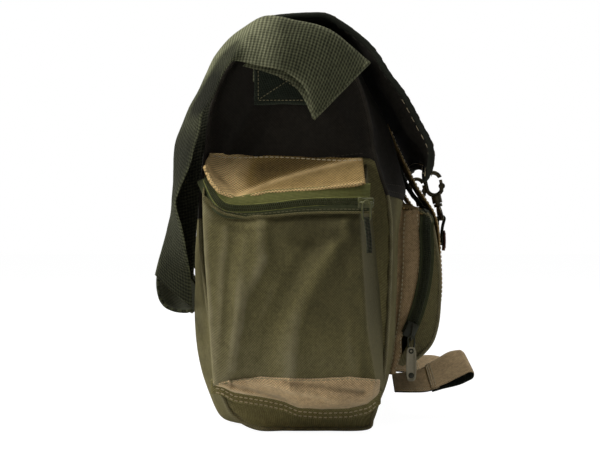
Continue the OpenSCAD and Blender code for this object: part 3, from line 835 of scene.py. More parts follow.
def gusset(way, side):
    grid, wear_and_shading = gusset_grid(way, upper=False)
    place(slab(f"Gusset_lower_{side}", grid, 1.6, "olive_canvas_gusset", (way, 0, 0),
               inner="lining_cloth", wear_and_shading=wear_and_shading), "olive_canvas", f"{side}_gusset_lower")
    grid, wear_and_shading = gusset_grid(way, upper=True)
    place(slab(f"Gusset_upper_{side}", grid, 1.6, "dark_canvas", (way, 0, 0),
               inner="lining_cloth", wear_and_shading=wear_and_shading), "dark_canvas", f"{side}_gusset_upper")
    stitches(f"Gusset_seam_stitch_{side}_0", grid[6:-6, 3], (way, 0, 0), "thread_dark",
             radius=0.34)
    # raised welt where gusset and panels are sewn together
    _, seam = section(420)
    y, z = seam.T
    path = xyz(way * SEAM_X, y, z)
    lower = np.where(((y < 0) & (z < 178)) | ((y >= 0) & (z < 160)))[0]
    first, last = lower[0], lower[-1]
    for name, part, mat, wear_and_shading in (("lower", path[first:last + 1], "olive_canvas", 0.75),
                                  ("front", path[:first + 1], "dark_canvas", 0.45),
                                  ("back", path[last:], "dark_canvas", 0.45)):
        place(tube(f"Welt_{name}_{side}", part, 1.35, mat, wear_and_shading=wear_and_shading), mat)


# the mouth's binding, (x, y), from the right round the front of the left half;
# the right half is its mirror image
MOUTH_LEFT = [(-159.6, 40), (-159.9, 20), (-160, 0), (-159.8, -20), (-158.5, -36),
              (-154, -41.5), (-120, -44)]


def inside():
    """Lining, slip pocket on the back wall, binding round the mouth, base board."""
    full, seam = section(150, 1, 29)
    x = np.linspace(-155.5, 155.5, 70)
    yz = lerp(full[:, None], seam[:, None], (ease((np.abs(x) - 100) / 56) ** 1.5)[:, None])
    grid = xyz(x, yz[..., 0], yz[..., 1])
    n = normals(grid, grid - BODY_CENTRE)
    grid = grid - n * (4.1 + 0.5 * lumps(grid, 25, 31))[..., None]
    grid[..., 2] = np.maximum(grid[..., 2], 2.9)
    place(slab("Lining_shell", grid, -0.7, "lining_cloth", grid - BODY_CENTRE),
          "lining_cloth", "lining")

    wall = curve([(72.2, 80), (71.6, 130), (70.4, 174), (68.4, 198)], 40)
    x = np.linspace(-100, 100, 60)
    grid = xyz(x, wall[:, 0:1] - 1.2 - 0.8 * np.cos(x / 100 * math.pi * 0.5), wall[:, 1:2])
    grid[..., 1] -= 0.8 * (lumps(grid, 30, 35) + 0.5)
    place(slab("Slip_pocket", grid, 0.8, "lining_cloth", (0, -1, 0)),
          "lining_cloth", "inner_slip_pocket")
    stitches("Slip_pocket_stitch", grid[-2, 2:-2] + (0, -0.1, -2.0), (0, -1, 0),
             "thread_olive", radius=0.3)

    ring = MOUTH_LEFT + [(0, -44.5)] + [(-x, y) for x, y in MOUTH_LEFT[::-1]]
    path = curve([(x, y, 286.4 + 0.01 * y) for x, y in ring], 260)
    place(tube("Mouth_binding", path, 2.3, "binding_cloth", 12, wear_and_shading=0.5, flat=1.5),
          "binding", "mouth_binding")
    paint("base_board", "stiff_board")


# ------------------------------------------------------------------ end pockets
# (y, z) lines on the pocket's face, from back to front
TOP_EDGE = arr([(66, 200), (64.6, 194), (61, 186), (54, 178), (43.4, 174), (20.5, 178.7),
                (-15.4, 181), (-45.6, 184.8), (-50, 187)])  # lower edge of the khaki top
TOP_CREASE = arr([(68, 202), (56, 190), (43, 177), (12, 189), (-8, 195), (-27, 200),
                  (-46, 205)], float)
COIL_LINE = [(66.0, 190), (61.3, 180), (56.3, 172.2), (48.4, 167.6), (31.9, 167.2),
             (14, 168.8), (-2.5, 170.8), (-19, 171.8), (-47, 172.2), (-53, 172.0)]
TAPE_EDGE = arr([(66.5, 176), (62.7, 170), (52, 162.8), (35.5, 159.8), (14, 161.6),
                 (-2.5, 163.2), (-19, 163.8), (-47, 163.8), (-56, 164)], float)
BOTTOM_UPPER = arr([(62, 41.5), (57.6, 40.4), (41, 44), (25.4, 45.5), (3.2, 44.7), (-11, 44),
                    (-38.3, 45.5), (-56, 43.5), (-62, 41.9)], float)
BOTTOM_LOWER = arr([(66, 38), (55.5, 36), (46.9, 31), (22.5, 27), (9.2, 24), (-1.1, 19.5),
                    (-19.6, 18.0), (-39.5, 18.6), (-53.6, 22), (-60, 27), (-66, 33)], float)
# folds of the face: height, width to the right and to the left of travel, (y, z) line
FACE_FOLDS = [
    (4.4, 4.6, 13.0, [(24, 158), (24.7, 150), (23.3, 128.5), (31.9, 112), (38.3, 97.7),
                      (42.6, 79.8), (46, 52)]),
    (4.0, 5.0, 12.0, [(-34, 150), (-24, 132), (-14, 116), (-5.5, 100), (0, 83.4), (3, 62),
                      (4, 48)]),
    (-2.6, 7.0, 7.0, [(-14, 142), (-1, 123), (9.7, 101), (19, 83), (24, 62)]),
    (-2.6, 3.6, 3.6, [(54, 158), (44, 153.5), (32, 149)]),
    (-1.8, 5.0, 5.0, [(0, 143), (-16, 140), (-28, 146)])]
# folds that hang down the face: y at the top, y at the bottom, height
HANGING_FOLDS = [(51, 57, 1.7), (44, 53, -1.3), (35, 47, 1.2), (-36, -40, 1.0),
                 (-30, -46, -0.9), (52, 30, 0.8)]


def face_depth(y, z, way):
    """How far the pocket face stands off the gusset, with its folds."""
    up = (z - 40) / 125
    depth = 43.2 + 3.0 * np.sin(np.clip(up, 0, 1) * math.pi) - 3.4 * ((y - 8) / 60) ** 2
    for height, right_width, left_width, line in FACE_FOLDS:
        distance, side = line_distance(y, z, line)
        depth = depth + height * bell(distance, np.where(side < 0, right_width, left_width))
    # the cloth tucks in under the zip
    depth = depth - 3.2 * bell(z - (height_on(TAPE_EDGE, y) - 1), 4.2)
    for top_y, bottom_y, height in HANGING_FOLDS:
        fold = bell(y - lerp(top_y, bottom_y, 1 - up), 2.6)
        depth = depth + height * fold * ease((up - 0.02) * 4) * ease((1.1 - up) * 3)
    points = xyz(way * 7, y, z)
    depth = depth + 0.9 * lumps(points, (30, 18, 30), 41 + way)
    return depth + 0.35 * lumps(points, (9, 7, 12), 44 + way)


def pocket_shell(way, side):
    """Back side wall, face and front side wall in one sheet."""
    across, down = np.linspace(0, 1, 190), np.linspace(0, 1, 130)
    back_corner, front_corner = 0.20, 0.78  # where the sheet turns, along "across"

    def face_back_y(z):
        return np.interp(z, [30, 42, 82, 132, 165, 200], [58, 59.3, 62, 66.0, 68.0, 68])

    def face_front_y(z):
        return np.interp(z, [30, 42, 80, 148, 170, 200], [-58, -57, -50.5, -46.5, -45.5, -45.5])

    def column(c):
        if c < back_corner:
            q = c / back_corner
            top = lerp(203, height_on(TAPE_EDGE, 64) + 1.0, q ** 0.9)
            z = lerp(top, lerp(34, 41, q), down)
            root_y = np.interp(z, [20, 60, 120, 200], [61.5, 64.5, 68, 68])
            depth = face_depth(np.full_like(z, 57), z, way) * q ** 0.92
            return xyz(depth, lerp(root_y, face_back_y(z), q), z)
        if c > front_corner:
            q = (1 - c) / (1 - front_corner)
            top = lerp(201, height_on(TAPE_EDGE, -50) + 1.0, q ** 0.9)
            z = lerp(top, lerp(30, 42, q), down)
            root_y = np.interp(z, [20, 40, 76, 110, 145, 200],
                               [-64, -65.5, -64.5, -62, -58.5, -53])
            depth = face_depth(np.full_like(z, -47), z, way) * q ** 0.92
            # a soft fold runs down the front side wall
            middle = np.sin(q * math.pi)
            depth = depth + 1.2 * middle * np.sin(z / 17.0)
            y = lerp(root_y, face_front_y(z), q) + 1.6 * middle * bell(z - 120, 45.0)
            return xyz(depth, y, z)
        g = (c - back_corner) / (front_corner - back_corner)
        y = np.full(len(down), lerp(62.0, -48.0, g))
        for _ in range(3):
            z = lerp(height_on(TAPE_EDGE, y[0]) + 1.4, height_on(BOTTOM_UPPER, y[-1]) - 1.0, down)
            y = lerp(face_back_y(z), face_front_y(z), g)
        return xyz(face_depth(y, z, way), y, z)

    grid = np.stack([column(c) for c in across])
    # soften the two corners
    for _ in range(9):
        grid[1:-1] = (grid[:-2] + grid[1:-1] * 2 + grid[2:]) / 4
    depth, y, z = grid[..., 0].copy(), grid[..., 1], grid[..., 2]
    grid[..., 0] = way * (POCKET_X + depth)
    # faded ridges and corners; painted light towards the back and the bottom; painted shade towards the
    # front and the top, which also holds back the paler colour
    ridge = depth - (np.roll(depth, 6, 0) + np.roll(depth, -6, 0)) / 2
    ridge[:8] = 0
    ridge[-8:] = 0
    c = across[:, None]
    wear_and_shading = (np.clip(ridge * 0.42, 0, 0.7) + 0.55 * bell(c - back_corner, 0.012)
            + 0.10 * bell(c - front_corner, 0.010))
    painted_light = ease((y - 5) / 60) * 0.12 + 0.28 * ease((100 - z) / 55)
    painted_shade = (0.40 * ease((-y - 43) / 7)
             + 0.36 * ease((38 - y) / 62) * (0.3 + 0.7 * ease((z - 55) / 60))
             + 0.16 * ease((z - 122) / 28))
    wear_and_shading = np.clip(wear_and_shading + painted_light, 0, 1) * (1 - ease((painted_shade - 0.05) / 0.3) * 0.55) - painted_shade
    place(slab(f"Pocket_shell_{side}", grid, 1.3, "olive_canvas", (way, 0, 0),
               wear_and_shading=np.maximum(wear_and_shading, -0.72)), "olive_canvas", f"{side}_pocket_panel")


def top_depth(y, z):
    """Depth of the khaki top between its seam and the zip."""
    seam_z = 208.0 + 0.5 * np.sin(y / 20)
    drop = seam_z - height_on(TOP_EDGE, y)
    crease = np.clip((seam_z - height_on(TOP_CREASE, y)) / drop, 0.05, 0.97)
    crease_depth = 1.6 + 33 * crease ** 1.3
    down = np.clip((seam_z - z) / drop, 0.0, 1)
    below = np.maximum((down - crease) / (1 - crease), 0)
    return np.where(down < crease, lerp(1.6, crease_depth, (down / crease) ** 0.9),
                    lerp(crease_depth, 38.6, below ** 0.8))


def pocket_top(way, side):
    rows = 150
    y = np.linspace(65.4, -49.4, rows)[:, None]
    edge_z = height_on(TOP_EDGE, y)
    seam_z = 208.0 + 1.2 * np.sin(y / 16) - 3.2 * ease((-y - 6) / 60) + 1.8 * ease((y - 30) / 40)
    z = lerp(seam_z, edge_z, np.linspace(0, 1, 70))
    grid = xyz(top_depth(y, z), y, z)
    for _ in range(3):
        grid[1:-1, 1:-1] = (grid[:-2, 1:-1] + grid[2:, 1:-1]
                            + grid[1:-1, :-2] + grid[1:-1, 2:]) / 4
    depth = grid[..., 0]
    index = np.arange(rows)
    from_end = np.minimum(index, index[::-1])[:, None] / rows
    relief = 0.9 * lumps(grid, (12, 14, 12), 61 + way) * ease(depth / 8)
    # both ends drop to the side walls
    relief = relief - 2.5 * (1 - ease(from_end / 0.05)) * ease(depth / 20)
    grid[..., 0] = way * (SEAM_X + depth + relief)
    y, z = grid[..., 1], grid[..., 2]
    off_crease, _ = line_distance(y, z, TOP_CREASE)
    above = (z > height_on(TOP_CREASE, y)) * 1.0
    # painted highlight along the crease, below it and over the back end; wear along the lower edge;
    # painted shade in the hollow above the crease
    crease_highlight = bell(off_crease, 1.8)
    wear_and_shading = 0.85 * crease_highlight + 0.4 * bell(z - edge_z, 2.2) + 0.16 * (1 - above) + ease((y - 26) / 24)
    shade = 0.5 * above * bell(off_crease - 9, 9.0) * ease((46 - y) / 22) * (1 - crease_highlight)
    place(slab(f"Pocket_top_{side}", grid, 1.7, "khaki_canvas", (way, 0, 1),
               wear_and_shading=np.clip(wear_and_shading, 0, 1) - shade, edge=0.5), "khaki_canvas", f"{side}_pocket_top")
    n = normals(grid, (way, 0, 0))
    stitches(f"Pocket_top_stitch_{side}", grid[3:-3, 8], n[3:-3, 8], radius=0.5, pitch=3.9,
             length=2.9)
    # turned hem over the zip
    hem = grid[2:-2, -1] - (way * 0.5, 0, 0)
    place(tube(f"Pocket_top_hem_{side}", hem, 1.05, "khaki_canvas", wear_and_shading=0.9), "khaki_canvas")


def zip_depth(y, z):
    """Depth of the zip's plane."""
    depth = np.interp(z, [158, 165, 171, 182, 200], [43.2, 42.6, 41.6, 38.2, 30])
    depth = depth - 2.2 * ((y - 6) / 55) ** 2
    return depth - 9.0 * ease((y - 55) / 16) - 3.0 * ease((-y - 46) / 8)


def zip_teeth(name, path, across, normal, pitch, lag, half_width, mat, even=False):
    """Two interlocking rows of teeth. even holds them at full width round bends."""
    rows = []
    for side, start in ((1, 0.0), (-1, lag)):
        table, _ = along(np.hstack([path, across, normal]), pitch, start)
        over = unit(table[:, 3:6]) if even else table[:, 3:6]
        rows.append(beads("teeth", table[:, :3] + over * 1.15 * side, over, table[:, 6:9],
                          1.5, half_width, 0.85, mat))
    return join(rows, name)


def pocket_zip(way, side):
    count = 170
    out = (way, 0, 0)
    coil = curve(COIL_LINE, count)
    tangent = unit(np.gradient(coil, axis=0))
    down = np.stack([tangent[:, 1], -tangent[:, 0]], 1)
    down = np.where(down[:, 1:2] > 0, -down, down)

    def lift(yz, extra=0.0):
        y, z = yz[..., 0], yz[..., 1]
        return xyz(way * (POCKET_X + zip_depth(y, z) + extra), y, z)

    def beside(distance, extra=0.0):
        """Grid at distances below the coil."""
        return lift(coil[:, None] + down[:, None] * distance[..., None], extra)

    # the upper tape runs from just above the coil to under the khaki top
    k = np.linspace(0, 1, 10)
    near, _ = line_distance(coil[:, 0], coil[:, 1], TOP_EDGE)
    reach = np.clip(near - 0.7, 0.4, 11.0) * ease((63 - coil[:, 0]) / 9) + 0.3
    upper = beside(-(1.9 + k * reach[:, None]))
    upper[..., 0] += way * (0.25 * np.sin(np.arange(count) * 0.35)[:, None] * k)
    tapes = [slab("upper", upper, 0.8, "zip_tape", out, wear_and_shading=0.15),
             slab("lower", beside(1.9 + k * 5.6, 0.3), 0.8, "zip_tape_dark", out, wear_and_shading=0.2),
             slab("under", beside(np.linspace(-2.2, 2.2, 5), -1.0), 0.6, "zip_tape_dark", out)]
    place(join(tapes, f"Zip_tapes_{side}"), "zip")
    middle = lift(coil, 0.55)
    up = xyz(0, -down[:, 0], -down[:, 1])
    normal = np.broadcast_to(arr(out, float), middle.shape)
    place(zip_teeth(f"Zip_coil_{side}", middle, up, normal, pitch=1.45, lag=0.72,
                    half_width=0.5, mat="zip_coil", even=True), "zip", f"{side}_pocket_zip")
    for name, off in (("a", 2.75), ("b", -2.75)):
        place(tube(f"Zip_cord_{name}_{side}", (middle + up * off)[2:-2], 0.36, "zip_cord", 6,
                   wear_and_shading=0.0), "zip")
    # folded lip of the face over the lower tape, painted a little darker as shade
    edge_y, edge_z = resample(TAPE_EDGE, count).T
    lip = xyz(way * (POCKET_X + zip_depth(edge_y, edge_z) + 0.9), edge_y, edge_z + 0.2)
    place(tube(f"Face_lip_{side}", curve(lip[::6], 150), 1.15, "olive_canvas", wear_and_shading=-0.25,
               flat=0.8), "olive_canvas")
    stitches(f"Zip_stitch_{side}", (lip + (-way * 0.35, 0, 2.3))[8:-6], out, "thread_drab",
             radius=0.28, pitch=3.0, length=2.1)


# folds of the khaki bottom, from the back corner down to the middle:
# start (y, z), end (y, z), height
BOTTOM_FOLDS = [((57, 38), (-4, 21), 2.0), ((50, 41), (8, 27), -1.8),
                ((34, 43), (-22, 30), 1.5), ((8, 43), (-48, 34), -1.3)]
# slanted puckers of the khaki bottom: y, height
BOTTOM_PUCKERS = [(38, 2.2), (20, -2.0), (2, 1.9), (-16, -1.7), (-38, 1.5)]


def pocket_bottom(way, side):
    out = (way, 0, 0)
    g, t = np.linspace(0, 1, 140)[:, None], np.linspace(0, 1, 46)[None]
    y = lerp(60.5, -61.0, g)
    top_z = height_on(BOTTOM_UPPER, y) + 0.6
    low_z = height_on(BOTTOM_LOWER, y * 1.03)
    top = face_depth(y, top_z, way) + 0.9
    top = lerp(top - 7, top, ease(np.minimum(g, 1 - g) / 0.05))
    turn = t * math.pi / 2
    rest = xyz(1.0 + (top - 1.0) * np.cos(turn) ** 0.82, y,
               top_z - (top_z - low_z) * np.sin(turn) ** 1.12)
    y, z = rest[..., 1], rest[..., 2]
    middle = np.sin(t * math.pi)
    # the last sine comes out a hair above zero, so the power is safe
    relief = (1.4 * lumps(rest, (16, 13, 12), 71 + way)
              + 0.8 * lumps(rest, (8, 6, 8), 73)) * middle ** 0.7
    for pucker_y, height in BOTTOM_PUCKERS:
        relief = relief + height * bell(y - pucker_y - (z - 35) * 0.5, 4.0) * middle
    wear_and_shading = np.clip(0.55 * bell(t, 0.06) + 0.4 * np.clip(lumps(rest, 10, 75), 0, 1), 0, 1)
    for start, end, height in BOTTOM_FOLDS:
        fold = bell(line_distance(y, z, [start, end])[0], 2.2)
        relief = relief + height * fold
        # raised folds get painted highlight, sunk folds painted shade
        wear_and_shading = wear_and_shading + (0.35 if height > 0 else -0.35) * fold
    # painted shade towards the front
    wear_and_shading = wear_and_shading - 0.22 * ease((-y - 5) / 40)
    grid = xyz(way * (SEAM_X + rest[..., 0] + relief), y, z)
    # the lighter khaki copy here is painted light on the pocket bottom
    place(slab(f"Pocket_bottom_{side}", grid, 1.7, "khaki_canvas_lit", out, wear_and_shading=wear_and_shading,
               edge=0.5), "khaki_canvas", f"{side}_pocket_bottom")
    n = normals(grid, out)

    # olive hem that laps the khaki's lower edge, sewn with two rows
    hem_y, k = np.linspace(64, -63, 120)[:, None], np.linspace(0, 1, 14)
    hem_z = np.maximum(height_on(BOTTOM_LOWER, hem_y) + lerp(2.2, -8.5, k), 3.4)
    hem = xyz(0, hem_y, hem_z)
    hem[..., 0] = way * (164.9 + 1.7 * bell(k, 0.3) - 1.2 * k ** 2 + 0.5 * lumps(hem, 12, 77))
    place(slab(f"Pocket_hem_{side}", hem, 2.6, "olive_canvas_gusset", out,
               wear_and_shading=0.5 * bell(k, 0.15)), "olive_canvas")
    for j, column in enumerate((7, 11)):
        stitches(f"Pocket_bottom_stitch_{side}_{j}", hem[3:-3, column], out, radius=0.46,
                 pitch=3.8, length=2.7)
    stitches(f"Pocket_face_stitch_{side}", grid[4:-4, 2], n[4:-4, 2], "thread_olive",
             radius=0.32)


def slider_blocks(centre, way, blocks, mat, axes=np.eye(3)):
    """Blocks of a slider: (offset outward and along the other axes, half sizes, bevel)."""
    return [rounded_box(centre + (arr(offset) * (way, 1, 1)) @ axes, half, bevel, mat, axes)
            for offset, half, bevel in blocks]


def end_slider_and_pull(way, side):
    mat = "olive_lacquer"
    y0, z0 = -50.0, 171.0
    centre = arr([way * 201.6, y0, z0])
    mirror = (way, 1, 1)
    parts = slider_blocks(centre, way, [
        ((3.0, 0, 0), (0.75, 5.4, 3.2), 0.6),  # outer plate
        ((2.1, 4.2, 0), (1.6, 1.7, 3.9), 0.6),  # wide end
        ((2.0, -3.8, 0), (1.5, 1.8, 2.9), 0.6),  # narrow end
        ((1.5, 0, -3.2), (1.7, 5.2, 0.45), 0.3),  # side rails
        ((1.5, 0, 3.2), (1.7, 5.2, 0.45), 0.3)], mat)
    arch = arr([(3.2, -4.2, 0), (6.6, -4.0, 0), (7.6, 0, 0), (6.6, 4.0, 0), (3.2, 4.2, 0)])
    parts.append(tube("arch", curve(arch * mirror + centre, 24), 0.85, mat))
    place(join(parts, f"Slider_{side}"), "antique_brass", f"{side}_pocket_slider",
          body=f"{side}_slider")

    # lacquered link, then a cloth leash
    crown = centre + (way * 7.6, 0, 0)
    link = arr([(1.3, 0, 1.4), (1.5, -2.6, -1), (0.9, -2.9, -6), (0.6, -2.4, -11.5),
                (0.5, 0, -12.6), (0.6, 2.4, -11.5), (0.9, 2.9, -6), (1.5, 2.6, -1)])
    path = curve(link * mirror + crown, 60, closed=True)[:-1]
    parts = [tube("link", path, 0.75, mat, closed=True)]
    z = np.linspace(z0 - 10.2, z0 - 36, 24)
    drop = z0 - z
    leash = xyz(crown[0] + way * (0.4 + 0.6 * np.sin(drop / 9)),
                y0 - 2.0 + 0.5 * np.sin(z / 6) - drop * 0.05, z)
    parts.append(band("leash", leash, leash + (0, 4.0, 0), 2.2, "webbing_dark_and_shaded", cross=9,
                      out=(way, 0, 0)))
    parts += threads([leash[3:-3] + (way * 1.15, 2.0, 0)], (way, 0, 0), "thread_dark",
                     radius=0.28)
    place(join(parts, f"Pull_{side}"), "binding", f"{side}_pocket_pull", body=f"{side}_pull")


# ------------------------------------------------------------------ front pocket
# the zip runs on an arc in the (y, z) plane on each side
ARC_Y, ARC_Z, ARC_RADIUS = 50.6, 135.0, 152.6
# (y, z) down the middle of the face
FACE = [(-98, 167), (-102.5, 164.5), (-106.5, 156), (-109.8, 140), (-112.3, 120),
        (-112.8, 104), (-111.8, 84), (-109.4, 71), (-105.5, 61.5), (-98, 53), (-90, 47),
        (-84, 43)]
FACE_HALF_WIDTH = 115.0


def arc_yz(angle, radius=ARC_RADIUS):
    return ARC_Y + radius * np.cos(angle), ARC_Z + radius * np.sin(angle)


def arc_angle(y, z):
    return np.arctan2(z - ARC_Z, y - ARC_Y)


def front_face():
    y, z = curve(FACE, 90).T[..., None]
    # the face rounds over its side edges towards the zip's arc
    arc_y, arc_z = arc_yz(arc_angle(y, z), ARC_RADIUS + 3.6)
    ahead = arc_y < y + 0.8
    arc_y, arc_z = np.where(ahead, y + 1.2, arc_y), np.where(ahead, z, arc_z)
    across = np.linspace(-1, 1, 150)
    off = np.abs(across)
    over = ease((off - 0.93) / 0.07)
    x = np.sign(across) * np.minimum(off / 0.95, 1) * FACE_HALF_WIDTH * (0.985 + 0.02 * over)
    grid = xyz(x, lerp(y, arc_y, over), lerp(z, arc_z, over))
    n = normals(grid, (0, -1, 0))
    relief = 1.3 * lumps(grid, (34, 30, 34), 81) + 0.6 * lumps(grid, (12, 12, 16), 82)
    relief = relief * (1 - ease((np.abs(x) - 92) / 20)) - 0.8
    grid = grid + n * relief[..., None]
    wear_and_shading = (0.6 * bell(np.abs(grid[..., 0]) - 113.5, 2.0)
            + 0.25 * np.clip(lumps(grid, 20, 83), 0, 1))
    place(slab("Front_pocket_face", grid, 1.5, "olive_canvas", (0, -1, 0),
               wear_and_shading=np.clip(wear_and_shading, 0, 1)), "olive_canvas", "front_pocket_face")


def front_side(way, side):
    """Piping, the cloth between piping and zip, and the gusset from the bag to the zip."""
    def replaced(node):
        return [node] if way < 0 else []

    edge_y, edge_z = curve(FACE[1:-1], 110).T
    place(tube(f"Front_piping_{side}", xyz(way * 113.6, edge_y + 0.6, edge_z), 1.5,
               "olive_canvas", wear_and_shading=0.8), "binding", *replaced("front_pocket_piping"))

    # outer edge: where the same ray meets the face outline
    rows = 90
    angle = np.radians(np.linspace(172, 207, rows))
    edge_angle = arc_angle(edge_y, edge_z) % TAU
    order = np.argsort(edge_angle)
    edge_radius = np.hypot(edge_y - ARC_Y, edge_z - ARC_Z)
    outer = np.interp(angle, edge_angle[order], edge_radius[order]) - 0.6
    outer = np.maximum(outer, ARC_RADIUS + 3.6)
    k = np.linspace(0, 1, 14)
    y, z = arc_yz(angle[:, None], lerp(ARC_RADIUS + 3.0, outer[:, None], k))
    grid = xyz(0, y, z)
    grid[..., 0] = way * (115.6 - 1.6 * k ** 2 + 0.5 * lumps(grid, 12, 85))
    place(slab(f"Front_side_cloth_{side}", grid, 1.2, "olive_canvas", (way, 0, 0), wear_and_shading=0.15),
          "binding")

    # khaki gusset
    inner = ARC_RADIUS - 3.0

    def arc_y_at(z):
        return ARC_Y - inner * np.cos(np.arcsin((ARC_Z - z) / inner))

    z = np.linspace(167, 38, rows)
    body_y = np.interp(z, [30, 40, 70, 110, 150, 173], [-71, -73, -77.5, -78.8, -79.8, -83.5]) + 1.5
    low_y = np.interp(z, [36, 44, 55, 66], [-77, -79, -82.5, arc_y_at(66)])
    zip_y = np.where(z < 66, low_y, arc_y_at(z))
    k = np.linspace(0, 1, 26)
    grid = xyz(way * 3, lerp(body_y[:, None], zip_y[:, None], k), z[:, None]).astype(float)
    lip = bell(k - 1, 0.08)
    bulge = 2.4 * np.sin(k * math.pi) - 1.8 * bell(k - 0.16, 0.10) + lip
    wear_and_shading = np.clip(0.4 * lip + 0.35 * np.clip(lumps(grid, 9, 88), 0, 1), 0, 1)
    grid[..., 0] = way * (113.8 + bulge + 1.0 * lumps(grid, (9, 9, 14), 87 + way))
    place(slab(f"Front_gusset_{side}", grid, 1.5, "khaki_canvas_deep", (way, 0, 0), wear_and_shading=wear_and_shading),
          "khaki_canvas", *replaced("front_pocket_gusset"))
    n = normals(grid, (way, 0, 0))
    for name, column in (("a", 22), ("b", 7)):
        stitches(f"Front_gusset_stitch_{name}_{side}", grid[2:-2, column], n[2:-2, column],
                 pitch=3.4, length=2.3, radius=0.44)


def front_top():
    """Khaki strip across the top of the front pocket."""
    top = curve([(-82.5, 172.6), (-88, 171.6), (-94, 169.8), (-99.5, 167.6)], 18)
    x = np.linspace(-114.5, 114.5, 120)
    grid = xyz(x, top[:, 0:1], top[:, 1:2] - 3.5 * ease((np.abs(x) - 96) / 18))
    grid[..., 2] += 0.8 * lumps(grid, (30, 10, 10), 91)
    place(slab("Front_pocket_top", grid, 1.4, "khaki_canvas", (0, 0, 1), wear_and_shading=0.25),
          "khaki_canvas")
    stitches("Front_top_stitch", grid[14, 2:-2] + (0, 0, 0.1), (0, 0, 1), radius=0.38)


# the front zip's left top corner: x, y, z and the way it faces
ZIP_CORNER = [(-116.6, -102.3, 157.5, -0.9, -0.1, 0.3), (-114.6, -102.4, 162.2, -0.6, -0.3, 0.7),
              (-110.5, -102.5, 165.4, -0.2, -0.4, 0.9), (-104, -102.6, 166.6, 0, -0.45, 0.9)]


def front_zip():
    """Zip up one side, across the top and down the other side."""
    left = [(-117.4, *arc_yz(a), -1, 0, 0) for a in np.radians(np.linspace(205.5, 174, 40))]
    left = arr(left + ZIP_CORNER, float)
    middle = [(x, -102.6, 166.8, 0, -0.45, 0.9) for x in np.linspace(-90, 90, 20)]
    path = resample(np.vstack([left, middle, left[::-1] * (-1, 1, 1, -1, 1, 1)]), 620)
    path, normal = path[:, :3], unit(path[:, 3:6])
    across = unit(np.cross(unit(np.gradient(path, axis=0)), normal))

    def strip(distances, sink):
        return path[:, None] + across[:, None] * distances[None, :, None] - normal[:, None] * sink

    tape, out = "zip_tape_dark", normal[:, None]
    for name, way in (("in", 1), ("out", -1)):
        grid = strip(way * np.linspace(1.7, 5.6, 6), 1.2)
        place(slab(f"Front_zip_tape_{name}", grid, 0.7, tape, out, wear_and_shading=0.15), "zip")
    place(slab("Front_zip_back", strip(np.linspace(-2, 2, 4), 1.7), 0.5, tape, out), "zip")
    place(zip_teeth("Front_zip_coil", path, across, normal, pitch=1.5, lag=0.75,
                    half_width=0.52, mat="zip_coil_dark"), "zip", "front_pocket_zip")
    for name, off in (("a", 2.9), ("b", -2.9)):
        place(tube(f"Front_zip_cord_{name}", path + across * off - normal * 0.6, 0.36,
                   "zip_coil_dark", 6, wear_and_shading=0.1), "zip")


# half section of the pull's tab, from the rim to the sunk middle: inset, x
TAB_RINGS = [(0.35, -0.55), (0.0, -0.8), (0.25, -0.95), (0.9, -0.95), (1.2, -0.6), (3.2, -0.55)]


def tab_plate(centre):
    """A rounded plate with a raised rim on both faces."""
    segs = 64
    t = np.linspace(0, TAU, segs, endpoint=False)
    c, s = np.cos(t), np.sin(t)
    rings = []
    for inset, x in TAB_RINGS + [(inset, -x) for inset, x in TAB_RINGS[::-1]]:
        y = (4.0 - inset) * np.sign(c) * np.abs(c) ** 0.45
        z = (13.2 - inset) * np.sign(s) * np.abs(s) ** 0.62
        rings.append(xyz(x, y, z) + centre)
    last = len(TAB_RINGS) - 1  # two caps fill the middle instead of this row of quads
    quads = np.delete(ring_quads(len(rings), segs, closed=True), last, axis=0)
    faces = quads.reshape(-1, 4).tolist()
    faces.append(list(range(last * segs, (last + 1) * segs)))
    faces.append(list(range((last + 1) * segs, (last + 2) * segs))[::-1])
    return make("tab", np.vstack(rings), faces, ["painted_zinc"])


def front_slider_and_pull():
    """Hardware on the left run of the front pocket's zip."""
    mat = "dark_zinc"
    angle = math.radians(204)
    y, z = arc_yz(angle)
    outward = arr([-1.0, 0, 0])
    radial = arr([0, math.cos(angle), math.sin(angle)])
    tangent = arr([0, math.sin(angle), -math.cos(angle)])
    centre = arr([-117.8, y, z])
    parts = slider_blocks(centre, -1, [
        ((3.1, 0, 0), (0.75, 4.6, 6.0), 0.6),  # outer plate
        ((2.2, 0, 3.6), (1.5, 4.7, 2.0), 0.7),  # wide end
        ((2.0, 0, -3.8), (1.4, 3.4, 1.9), 0.7),  # narrow end
        ((1.4, -4.2, 0), (1.7, 0.45, 5.2), 0.3),  # side rails
        ((1.4, 4.2, 0), (1.7, 0.45, 5.2), 0.3)], mat, arr([-outward, radial, tangent]))
    hang = arr([-125.8, y, z - 6])
    arch = [centre + outward * 3.4 + tangent * 4.0, centre + outward * 6.2 + tangent * 3.2,
            hang + (0, 0, 1.6), hang, hang + (2.2, 0, -1.6),
            centre + outward * 3.4 + (0, 0, -7.0)]
    parts.append(tube("arch", curve(arch, 26), 0.8, mat))
    place(join(parts, "Front_slider"), "antique_brass", "front_pocket_slider",
          body="side_slider")

    link = arr([(0, 0, 1.7), (0, -2.3, 0.6), (0, -2.5, -3.5), (0, -1.8, -7.4), (0, 0, -8.4),
                (0, 1.8, -7.4), (0, 2.5, -3.5), (0, 2.3, 0.6)])
    parts = [tube("link", curve(link + hang, 50, closed=True)[:-1], 0.7, mat, closed=True),
             tab_plate(hang + (0, 0, -19.8)),
             disc(hang + (0, 0, -28.6), 2.2, 2.1, mat),
             disc(hang + (0, 0, -9.8), 2.0, 2.2, mat, hole=0.9)]
    place(join(parts, "Front_pull"), "antique_brass", "front_pocket_pull", body="side_pull")


